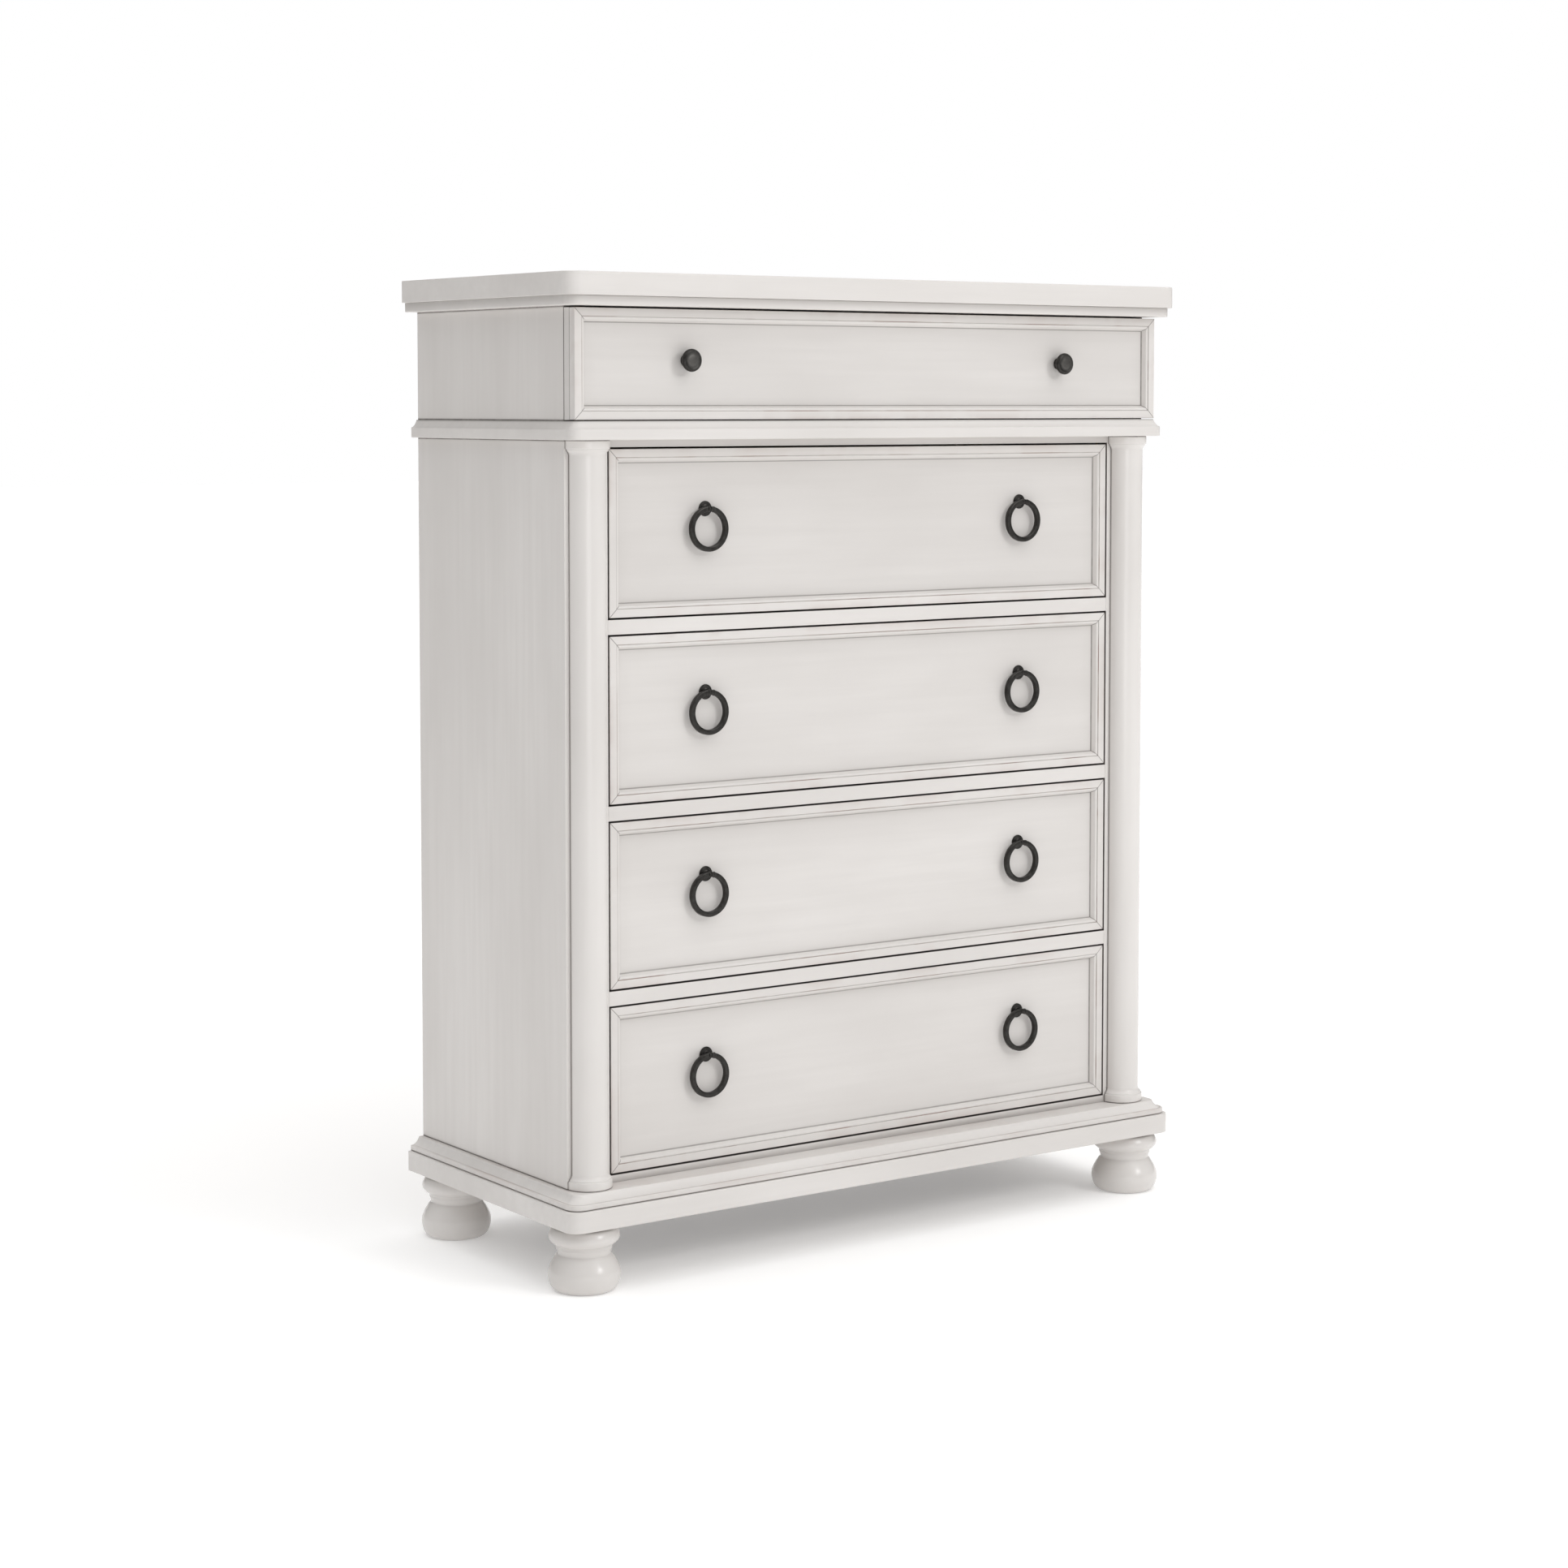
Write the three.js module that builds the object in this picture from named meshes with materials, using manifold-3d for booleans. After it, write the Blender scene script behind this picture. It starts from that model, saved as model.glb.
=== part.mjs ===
// Tall chest of drawers: a shallow overlay drawer with knobs on top of four deeper inset drawers
// with ring pulls, between half-round columns, on a moulded base with turned bun feet.
// Millimetres, +Z up, origin on the floor under the middle of the chest, front towards -Y.
import * as THREE from "three";
import { mergeVertices } from "three/addons/utils/BufferGeometryUtils.js";
import Module from "manifold-3d";

const wasm = await Module();
wasm.setup();

// ---- Driving dimensions ----
const WIDTH = 1060;
const DEPTH = 448;
const HEIGHT = 1359;
const TOP_OVERHANG = 24; // of the top board and the base slab, past the case's sides
const FRONT_STEP = 28; // the top drawer and the mouldings stand this far in front of the case
const CORNER_R = 20; // plan radius of the top board's and the base slab's front corners

const CASE_HALF = WIDTH / 2 - TOP_OVERHANG;
const BACK = DEPTH / 2;
const FRONT = -DEPTH / 2 + TOP_OVERHANG + FRONT_STEP; // face of the stiles, rails and lower drawers
const SIDE_T = 16;
const INNER_HALF = CASE_HALF - SIDE_T;
const FACE_T = 22; // thickness of stiles, rails and lower drawer fronts
const FACE_BACK = FRONT + FACE_T;

const FOOT_H = 89;
const SLAB_TOP = 117.5;
const CASE_BOTTOM = 136.5;
const WAIST_BOTTOM = 1138.5;
const WAIST_TOP = 1163.5;
const TOP_MOULDING_BOTTOM = 1315;
const TOP_MOULDING_OVERHANG = 19;
const BOARD_BOTTOM = 1328;

const GAP = 2.5; // reveal round a lower drawer
const DRAWER_H = 225.5;
const DRAWER_PITCH = 250.5;
const LOWEST_DRAWER = 149;
const OPENING_HALF = 438.5;
const FRONT_HALF = OPENING_HALF - GAP;
const TOP_DRAWER_BOTTOM = 1165;
const TOP_DRAWER_H = 147.5;
const FRAME_FLAT = 12; // flat part of the mitred frame on a drawer front
const FRAME_W = 19; // whole width of that frame
const PANEL_SINK = 9; // the panel lies this far behind the frame's face

const BOX_HALF = 425.5; // outside of a drawer box, 13 mm of glide each side
const BOX_T = 12;
const BOX_BACK = 200;
const BOX_LIFT = 14; // a box starts this far above its front's lower edge
const BOX_H = 175;
const TOP_BOX_H = 105;
const BOTTOM_T = 6;
const BOTTOM_LIFT = 10;

const FOOT_X = 480.5;
const FOOT_Y = 173.5;
const COLUMN_INSET = 33.5; // column axis, in from the side of the case
const KNOB_X = 326;
const KNOB_RAISE = 5.5; // above the middle of the top drawer
const PULL_X = 276.5;
const PULL_RAISE = 30.5; // ring pivot above the middle of its drawer
const PULL_REACH = 9.5; // ring plane in front of the panel

// ---- Materials ----
const paint = () => new THREE.MeshStandardMaterial({ color: 0xe4e1db, roughness: 0.45 });
const bareWood = () => new THREE.MeshStandardMaterial({ color: 0xcdb48c, roughness: 0.7 });
const board = () => new THREE.MeshStandardMaterial({ color: 0xb79f7c, roughness: 0.85 });
const bronze = () => new THREE.MeshStandardMaterial({ color: 0x2b2a28, roughness: 0.4, metalness: 0.8 });

// ---- Geometry helpers ----
const root = new THREE.Group();

function add(name, geometry, material) {
  const mesh = new THREE.Mesh(geometry, material);
  mesh.name = name;
  root.add(mesh);
}

function box([x0, x1], [y0, y1], [z0, z1]) {
  return new THREE.BoxGeometry(x1 - x0, y1 - y0, z1 - z0).translate(
    (x0 + x1) / 2,
    (y0 + y1) / 2,
    (z0 + z1) / 2,
  );
}

// [near, far] on the +X side, mirrored to the -X side when side is -1
function sideSpan(side, near, far) {
  return side > 0 ? [near, far] : [-far, -near];
}

function toSolid(geometry) {
  const g = geometry.clone();
  g.deleteAttribute("normal");
  g.deleteAttribute("uv");
  const merged = mergeVertices(g, 1e-4);
  return new wasm.Manifold(
    new wasm.Mesh({
      numProp: 3,
      vertProperties: merged.attributes.position.array,
      triVerts: new Uint32Array(merged.index.array),
    }),
  );
}

function toGeometry(solid) {
  const mesh = solid.getMesh();
  const g = new THREE.BufferGeometry();
  g.setAttribute("position", new THREE.BufferAttribute(mesh.vertProperties, 3));
  g.setIndex(new THREE.BufferAttribute(mesh.triVerts, 1));
  g.computeVertexNormals();
  return g;
}

// A stack of outlines with the same number of points, joined by walls and capped at both ends.
// Each level is { z, points } with its points anticlockwise seen from +Z.
function loft(levels) {
  const count = levels[0].points.length;
  const position = levels.flatMap(({ z, points }) => points.flatMap((p) => [p.x, p.y, z]));
  const index = [];
  for (let k = 0; k + 1 < levels.length; k++) {
    for (let i = 0; i < count; i++) {
      const j = (i + 1) % count;
      const [a, b, c, d] = [k * count + i, k * count + j, (k + 1) * count + j, (k + 1) * count + i];
      index.push(a, b, c, a, c, d);
    }
  }
  const top = (levels.length - 1) * count;
  for (const [a, b, c] of THREE.ShapeUtils.triangulateShape(levels[0].points, [])) index.push(c, b, a);
  for (const [a, b, c] of THREE.ShapeUtils.triangulateShape(levels.at(-1).points, [])) {
    index.push(top + a, top + b, top + c);
  }
  const g = new THREE.BufferGeometry();
  g.setAttribute("position", new THREE.Float32BufferAttribute(position, 3));
  g.setIndex(index);
  g.computeVertexNormals();
  return g;
}

// The plan radius of a front corner grows with the overhang, up to that of the top board.
const INNER_CORNER_R = 9;
const CORNER_GROWTH = 0.55;
const cornerRadius = (overhang) => Math.min(CORNER_R, INNER_CORNER_R + CORNER_GROWTH * overhang);

// The front edge of a moulding in plan, from its back right corner round to its back left corner:
// it overhangs the case by the given amount, and its two front corners are rounded.
function mouldingEdge(overhang) {
  const steps = 5;
  const half = CASE_HALF + overhang;
  const front = FRONT - FRONT_STEP - overhang;
  const r = cornerRadius(overhang);
  const points = [new THREE.Vector2(-half, BACK)];
  for (const [side, start] of [[-1, Math.PI], [1, 1.5 * Math.PI]]) {
    for (let i = 0; i <= steps; i++) {
      const a = start + (i / steps) * (Math.PI / 2);
      points.push(new THREE.Vector2(side * (half - r) + r * Math.cos(a), front + r + r * Math.sin(a)));
    }
  }
  points.push(new THREE.Vector2(half, BACK));
  return points;
}

// The same edge closed as a solid board, or as a U that wraps the case on three sides.
const boardOutline = (overhang) => mouldingEdge(overhang);
const wrapOutline = (overhang) => [
  ...mouldingEdge(overhang),
  new THREE.Vector2(CASE_HALF, BACK),
  new THREE.Vector2(CASE_HALF, FRONT),
  new THREE.Vector2(-CASE_HALF, FRONT),
  new THREE.Vector2(-CASE_HALF, BACK),
];

function mouldedStack(outline, profile) {
  return loft(profile.map(([overhang, z]) => ({ z, points: outline(overhang) })));
}

// Points along an ellipse arc in a turned profile, as [radius, height]
function arc(centreR, centreZ, rx, rz, from, to, steps) {
  return Array.from({ length: steps + 1 }, (_, i) => {
    const a = THREE.MathUtils.degToRad(from + ((to - from) * i) / steps);
    return [centreR + rx * Math.cos(a), centreZ + rz * Math.sin(a)];
  });
}

// A turned solid about Z, from a profile of [radius, height] that starts and ends on the axis
function turned(profile, segments) {
  const points = profile.map(([r, z]) => new THREE.Vector2(r, z));
  return new THREE.LatheGeometry(points, segments).rotateX(Math.PI / 2);
}

// ---- Top, mouldings and base ----
// Each profile is a list of [overhang, height], from the bottom up.
const plank = (overhang, bottom, top) => [[overhang, bottom], [overhang, top]];
const waistProfile = [
  [10.5, WAIST_BOTTOM],
  [10.5, WAIST_BOTTOM + 13.5],
  [9, WAIST_BOTTOM + 15],
  [6.2, WAIST_BOTTOM + 18.3],
  [3.9, WAIST_BOTTOM + 21.7],
  [2, WAIST_TOP],
];
const baseProfile = [
  [20, SLAB_TOP],
  [20, SLAB_TOP + 8],
  [16, SLAB_TOP + 8],
  [12.5, SLAB_TOP + 9.9],
  [9.3, SLAB_TOP + 13.4],
  [7.2, SLAB_TOP + 16.7],
  [6.3, CASE_BOTTOM],
];
const topMouldingProfile = plank(TOP_MOULDING_OVERHANG, TOP_MOULDING_BOTTOM, BOARD_BOTTOM);
add("top_board", mouldedStack(boardOutline, plank(TOP_OVERHANG, BOARD_BOTTOM, HEIGHT)), paint());
add("top_moulding", mouldedStack(wrapOutline, topMouldingProfile), paint());
add("waist_moulding", mouldedStack(wrapOutline, waistProfile), paint());
add("base_moulding", mouldedStack(boardOutline, baseProfile), paint());

const SLAB_HOLE_X = 425;
const SLAB_HOLE_Y = 119;
const slabShape = new THREE.Shape(boardOutline(TOP_OVERHANG));
const slabHole = new THREE.Path();
slabHole.moveTo(-SLAB_HOLE_X, -SLAB_HOLE_Y);
slabHole.lineTo(-SLAB_HOLE_X, SLAB_HOLE_Y);
slabHole.lineTo(SLAB_HOLE_X, SLAB_HOLE_Y);
slabHole.lineTo(SLAB_HOLE_X, -SLAB_HOLE_Y);
slabHole.closePath();
slabShape.holes.push(slabHole);
add(
  "base_slab",
  new THREE.ExtrudeGeometry(slabShape, { depth: SLAB_TOP - FOOT_H, bevelEnabled: false }).translate(
    0,
    0,
    FOOT_H,
  ),
  paint(),
);

// ---- Turned bun feet: a ball, a slender neck that widens upwards, and a round collar ----
const footProfile = [
  [0, 0],
  [37.5, 0],
  ...arc(29, 23, 20, 25, -50, 0, 3),
  ...arc(27.6, 22.4, 21.6, 28, 15, 64, 3),
  [36.2, 50],
  [38.4, 60.5],
  ...arc(34, 72, 14.4, 13, -58, 60, 6),
  [39.5, FOOT_H],
  [0, FOOT_H],
];
for (const [xName, xSide] of [["left", -1], ["right", 1]]) {
  for (const [yName, ySide] of [["front", -1], ["rear", 1]]) {
    add(
      `foot_${yName}_${xName}`,
      turned(footProfile, 20).translate(xSide * FOOT_X, ySide * FOOT_Y, 0),
      paint(),
    );
  }
}

// ---- Case ----
const COLUMN_R = 27;
const COLUMN_BASE_R = 32.5;
const COLUMN_BASE_H = 12;
const columnH = WAIST_BOTTOM - CASE_BOTTOM;
const columnProfile = [
  [0, 0],
  [COLUMN_BASE_R, 0],
  [COLUMN_BASE_R, COLUMN_BASE_H],
  [29, COLUMN_BASE_H + 2],
  [COLUMN_R, COLUMN_BASE_H + 6],
  [COLUMN_R, columnH - COLUMN_BASE_H - 6],
  [29, columnH - COLUMN_BASE_H - 2],
  [COLUMN_BASE_R, columnH - COLUMN_BASE_H],
  [COLUMN_BASE_R, columnH],
  [0, columnH],
];
const frontHalf = box([-COLUMN_BASE_R - 1, COLUMN_BASE_R + 1], [-COLUMN_BASE_R - 1, 0], [-1, columnH + 1]);
const halfColumn = toGeometry(toSolid(turned(columnProfile, 24)).intersect(toSolid(frontHalf)));

// A ladder of battens on two posts, which holds the drawer glides of one side
const POST_T = 30;
const BATTEN_H = 50;
const DRAWERS = 5;
const BATTEN_RISE = 76.5; // a batten's lower edge above the lower edge of its drawer front
const TOP_BATTEN_RISE = 41;
const drawerBottom = (n) => (n === 1 ? TOP_DRAWER_BOTTOM : LOWEST_DRAWER + (DRAWERS - n) * DRAWER_PITCH);
const battenBottom = (n) => drawerBottom(n) + (n === 1 ? TOP_BATTEN_RISE : BATTEN_RISE);
const BACK_PANEL_T = 5;
const BACK_PANEL_INSET = 2; // behind it, up to the back edges of the side panels
const PANEL_FRONT = BACK - BACK_PANEL_INSET - BACK_PANEL_T;

function runnerFrame(side) {
  const postX = sideSpan(side, INNER_HALF - POST_T, INNER_HALF);
  const postZ = [CASE_BOTTOM, BOARD_BOTTOM];
  let ladder = toSolid(box(postX, [FACE_BACK, FACE_BACK + POST_T], postZ));
  ladder = ladder.add(toSolid(box(postX, [PANEL_FRONT - POST_T, PANEL_FRONT], postZ)));
  for (let n = 1; n <= DRAWERS; n++) {
    const z = battenBottom(n);
    const batten = box(sideSpan(side, OPENING_HALF, INNER_HALF), [FACE_BACK, PANEL_FRONT], [z, z + BATTEN_H]);
    ladder = ladder.add(toSolid(batten));
  }
  return toGeometry(ladder);
}

for (const [name, side] of [["left", -1], ["right", 1]]) {
  const panelX = sideSpan(side, INNER_HALF, CASE_HALF);
  add(`side_panel_${name}`, box(panelX, [FRONT, BACK], [CASE_BOTTOM, BOARD_BOTTOM]), paint());
  const stileX = sideSpan(side, OPENING_HALF, INNER_HALF);
  add(`stile_${name}`, box(stileX, [FRONT, FACE_BACK], [CASE_BOTTOM, WAIST_BOTTOM]), paint());
  const columnX = side * (CASE_HALF - COLUMN_INSET);
  add(`column_${name}`, halfColumn.clone().translate(columnX, FRONT, CASE_BOTTOM), paint());
  add(`runner_frame_${name}`, runnerFrame(side), bareWood());
}
add(
  "back_panel",
  box([-INNER_HALF, INNER_HALF], [PANEL_FRONT, PANEL_FRONT + BACK_PANEL_T], [CASE_BOTTOM, BOARD_BOTTOM]),
  board(),
);

const railX = [-OPENING_HALF, OPENING_HALF];
const wideRailX = [-INNER_HALF, INNER_HALF];
const railY = [FRONT, FACE_BACK];
add("top_rail", box(wideRailX, railY, [TOP_MOULDING_BOTTOM, BOARD_BOTTOM]), paint());
add("waist_rail", box(wideRailX, railY, [WAIST_BOTTOM, WAIST_TOP]), paint());
add("upper_rail", box(railX, railY, [drawerBottom(2) + DRAWER_H + GAP, WAIST_BOTTOM]), paint());
for (let n = 1; n <= 3; n++) {
  const above = drawerBottom(n + 1);
  const below = drawerBottom(n + 2) + DRAWER_H;
  add(`rail_${n}`, box(railX, railY, [below + GAP, above - GAP]), paint());
}
add("bottom_rail", box(railX, railY, [CASE_BOTTOM, LOWEST_DRAWER - GAP]), paint());

// ---- Drawers ----
const rectangle = (half, z0, z1) => [
  new THREE.Vector2(-half, z0),
  new THREE.Vector2(half, z0),
  new THREE.Vector2(half, z1),
  new THREE.Vector2(-half, z1),
];

// Section of the mitred frame as [inset from the front's edge, depth behind the frame's face]:
// a flat, a small step down to a narrow second flat, and a slope that falls to the panel
const frameSection = [
  [0, 0],
  [FRAME_FLAT, 0],
  [FRAME_FLAT + 0.3, 1.1],
  [FRAME_FLAT + 3, 1.4],
  [FRAME_W - 2.2, 5.1],
  [FRAME_W - 0.6, 8],
  [FRAME_W, PANEL_SINK],
];

// A front with its mitred frame standing round a sunken panel. It is lofted from back to front,
// then turned so that the loft's height runs towards -Y.
function framedFront(half, z0, z1, thickness) {
  const outline = (inset) => rectangle(half - inset, z0 + inset, z1 - inset);
  const levels = frameSection.map(([inset, depth]) => ({ z: thickness - depth, points: outline(inset) }));
  return loft([{ z: 0, points: outline(0) }, ...levels]).rotateX(Math.PI / 2);
}

// The overlay front of the top drawer is two layers: a board, and the mitred frame planted on it.
const OVERLAY_GAP = 0.5;
const OVERLAY_FACE = FRONT - 27.5;
const OVERLAY_FRAME_T = 13;
const overlayBack = FRONT - OVERLAY_GAP;
const overlayMiddle = OVERLAY_FACE + OVERLAY_FRAME_T;

function overlayBoard(z0, z1) {
  const wide = box([-CASE_HALF, CASE_HALF], [overlayMiddle, overlayBack], [z0, z1]);
  const raised = box(
    [-CASE_HALF + FRAME_W, CASE_HALF - FRAME_W],
    [OVERLAY_FACE + PANEL_SINK, overlayMiddle],
    [z0 + FRAME_W, z1 - FRAME_W],
  );
  return toGeometry(toSolid(wide).add(toSolid(raised)));
}

function overlayFrame(z0, z1) {
  const whole = framedFront(CASE_HALF, z0, z1, OVERLAY_FRAME_T).translate(0, overlayMiddle, 0);
  const hole = box(
    [-CASE_HALF + FRAME_W, CASE_HALF - FRAME_W],
    [OVERLAY_FACE - 1, overlayMiddle + 1],
    [z0 + FRAME_W, z1 - FRAME_W],
  );
  return toGeometry(toSolid(whole).subtract(toSolid(hole)));
}

function drawerBox(front, z0, height) {
  const outline = (half, y0, y1) => [
    new THREE.Vector2(-half, y0),
    new THREE.Vector2(half, y0),
    new THREE.Vector2(half, y1),
    new THREE.Vector2(-half, y1),
  ];
  const walls = new THREE.Shape(outline(BOX_HALF, front, BOX_BACK));
  walls.holes.push(new THREE.Path(outline(BOX_HALF - BOX_T, front + BOX_T, BOX_BACK - BOX_T)));
  return new THREE.ExtrudeGeometry(walls, { depth: height, bevelEnabled: false }).translate(0, 0, z0);
}

function drawerBottomPanel(front, z0) {
  const half = BOX_HALF - BOX_T;
  return box([-half, half], [front + BOX_T, BOX_BACK - BOX_T], [z0, z0 + BOTTOM_T]);
}

// ---- Hardware ----
// Turned parts point along -Y, with height 0 on the panel they are screwed to.
const facing = (geometry) => geometry.rotateX(Math.PI / 2);

const knobProfile = [
  [0, 0],
  [6.5, 0],
  [6, 4],
  [6.5, 7],
  [12, 10],
  [15.5, 13.5],
  [15.5, 16],
  [13, 18.5],
  [6, 19.5],
  [0, 19.5],
];

// A rosette with a short boss, and an eye that stands on it between the two ends of the ring
const BOSS_R = 5;
const BOSS_H = 4.2;
const EYE_R = 3.9;
const EYE_T = 3;
const rosetteProfile = [
  [0, 0],
  [10.5, 0],
  [10.5, 1.5],
  [9, 3],
  [BOSS_R, 3],
  [BOSS_R, BOSS_H],
  [0, BOSS_H],
];
const PIN_R = 1.5;
const PIN_HOLE_R = 1.9;
const rod = (r, length, sides) => new THREE.CylinderGeometry(r, r, length, sides).rotateZ(Math.PI / 2);

function pullPost() {
  const rosette = toSolid(facing(turned(rosetteProfile, 16)));
  const stem = box([-EYE_T / 2, EYE_T / 2], [-PULL_REACH, -BOSS_H / 2], [-EYE_R + 0.1, EYE_R - 0.1]);
  const eye = toSolid(rod(EYE_R, EYE_T, 16).translate(0, -PULL_REACH, 0));
  const hole = toSolid(rod(PIN_HOLE_R, 2 * EYE_T, 12).translate(0, -PULL_REACH, 0));
  return toGeometry(rosette.add(toSolid(stem)).add(eye).subtract(hole));
}

// The ring is open where it meets the eye of its post, and a pin through the eye joins its two ends.
const RING_R = 27.5;
const RING_RADIAL = 3.5; // half of the band's width
const RING_AXIAL = 3.5; // half of the band's depth
const RING_BEVEL = 1;
const RING_END = EYE_T / 2 + 0.4;
const PIN_EMBED = 2; // how far the pin runs into each end of the ring

function pullRing() {
  const section = [
    [RING_R - RING_RADIAL, -RING_AXIAL + RING_BEVEL],
    [RING_R - RING_RADIAL + RING_BEVEL, -RING_AXIAL],
    [RING_R + RING_RADIAL - RING_BEVEL, -RING_AXIAL],
    [RING_R + RING_RADIAL, -RING_AXIAL + RING_BEVEL],
    [RING_R + RING_RADIAL, RING_AXIAL - RING_BEVEL],
    [RING_R + RING_RADIAL - RING_BEVEL, RING_AXIAL],
    [RING_R - RING_RADIAL + RING_BEVEL, RING_AXIAL],
    [RING_R - RING_RADIAL, RING_AXIAL - RING_BEVEL],
  ];
  const hoop = facing(turned([...section, section[0]], 24)).translate(0, 0, -RING_R);
  const cut = 3 * RING_AXIAL; // half the height and depth of the cut, well past the band
  const mouth = box([-RING_END, RING_END], [-cut, cut], [-cut, cut]);
  const pin = rod(PIN_R, 2 * (RING_END + PIN_EMBED), 8);
  return toGeometry(toSolid(hoop).subtract(toSolid(mouth)).add(toSolid(pin)));
}

const knobGeometry = facing(turned(knobProfile, 18));
const postGeometry = pullPost();
const ringGeometry = pullRing();

function addBox(n, front, height) {
  const z = drawerBottom(n) + BOX_LIFT;
  add(`drawer_${n}_box`, drawerBox(front, z, height), bareWood());
  add(`drawer_${n}_bottom`, drawerBottomPanel(front, z + BOTTOM_LIFT), board());
}

const topDrawerTop = TOP_DRAWER_BOTTOM + TOP_DRAWER_H;
add("drawer_1_front", overlayBoard(TOP_DRAWER_BOTTOM, topDrawerTop), paint());
add("drawer_1_frame", overlayFrame(TOP_DRAWER_BOTTOM, topDrawerTop), paint());
addBox(1, overlayBack, TOP_BOX_H);
for (const [name, side] of [["left", -1], ["right", 1]]) {
  const z = TOP_DRAWER_BOTTOM + TOP_DRAWER_H / 2 + KNOB_RAISE;
  add(`knob_${name}`, knobGeometry.clone().translate(side * KNOB_X, OVERLAY_FACE + PANEL_SINK, z), bronze());
}

for (let n = 2; n <= DRAWERS; n++) {
  const z0 = drawerBottom(n);
  const front = framedFront(FRONT_HALF, z0, z0 + DRAWER_H, FACE_T).translate(0, FACE_BACK, 0);
  add(`drawer_${n}_front`, front, paint());
  addBox(n, FACE_BACK, BOX_H);
  const pivotZ = z0 + DRAWER_H / 2 + PULL_RAISE;
  for (const [name, side] of [["left", -1], ["right", 1]]) {
    const panel = FRONT + PANEL_SINK;
    add(`post_${n}_${name}`, postGeometry.clone().translate(side * PULL_X, panel, pivotZ), bronze());
    const ring = ringGeometry.clone().translate(side * PULL_X, panel - PULL_REACH, pivotZ);
    add(`ring_${n}_${name}`, ring, bronze());
  }
}

export default root;
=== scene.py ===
import math

import bmesh
import bpy
from mathutils import Matrix, Vector


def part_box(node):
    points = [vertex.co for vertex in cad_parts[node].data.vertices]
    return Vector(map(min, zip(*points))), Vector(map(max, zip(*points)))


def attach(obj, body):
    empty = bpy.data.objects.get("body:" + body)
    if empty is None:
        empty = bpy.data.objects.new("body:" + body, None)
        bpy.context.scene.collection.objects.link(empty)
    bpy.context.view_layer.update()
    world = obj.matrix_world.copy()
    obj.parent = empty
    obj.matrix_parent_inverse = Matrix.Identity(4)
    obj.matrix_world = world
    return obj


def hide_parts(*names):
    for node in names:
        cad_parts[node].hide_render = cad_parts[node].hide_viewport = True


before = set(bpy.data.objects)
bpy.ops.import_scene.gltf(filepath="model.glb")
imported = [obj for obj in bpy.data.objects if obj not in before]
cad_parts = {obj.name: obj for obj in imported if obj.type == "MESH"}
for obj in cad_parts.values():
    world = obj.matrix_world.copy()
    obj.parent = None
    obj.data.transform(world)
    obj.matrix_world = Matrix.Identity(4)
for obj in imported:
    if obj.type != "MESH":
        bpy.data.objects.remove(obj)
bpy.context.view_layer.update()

# Lengths of the chest are in millimetres, in the frame's own axes: +Z up, front towards -Y.
MM = 0.001
SIDES = (("left", -1), ("right", 1))
LOWER_DRAWERS = (2, 3, 4, 5)
DRAWERS = (1,) + LOWER_DRAWERS


def span(node):
    """Lowest and highest corner of a CAD node, in millimetres."""
    low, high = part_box(node)
    return low / MM, high / MM


# ---- Driving dimensions, read from the frame ----
BOARD_LOW, BOARD_HIGH = span("top_board")
PANEL_LOW, PANEL_HIGH = span("side_panel_right")
SLAB_LOW, SLAB_HIGH = span("base_slab")
RAIL_HIGH = span("rail_2")[1]
BATTEN_LOW, BATTEN_HIGH = span("runner_frame_right")
CASE_HALF = PANEL_HIGH.x
INNER_HALF = PANEL_LOW.x
OPENING_HALF = RAIL_HIGH.x
BACK = PANEL_HIGH.y
FRONT = PANEL_LOW.y
CASE_BOTTOM = PANEL_LOW.z
WAIST_BOTTOM = span("column_right")[1].z
WAIST_TOP = span("waist_rail")[1].z
TOP_MOULDING_BOTTOM = span("top_moulding")[0].z
TOP_OVERHANG = BOARD_HIGH.x - CASE_HALF
FRONT_STEP = FRONT - TOP_OVERHANG - BOARD_LOW.y

# ---- Sizes of the finished details ----
CORNER_R = 20
INNER_CORNER_R = 9
# A corner's radius grows with how far its moulding overhangs, up to CORNER_R
CORNER_GROWTH = 0.55
FRAME_W = 19
# How far a frame's fine groove lies from its outer edge
QUIRK = 11.4
PANEL_SINK = 9
EDGE_R = 0.9
BATTEN_H = 50.0
GLIDE_RISE = BATTEN_H / 2
DOVETAIL_SLOPE = 2.2
DOVETAIL_SHARE = 0.30


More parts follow.
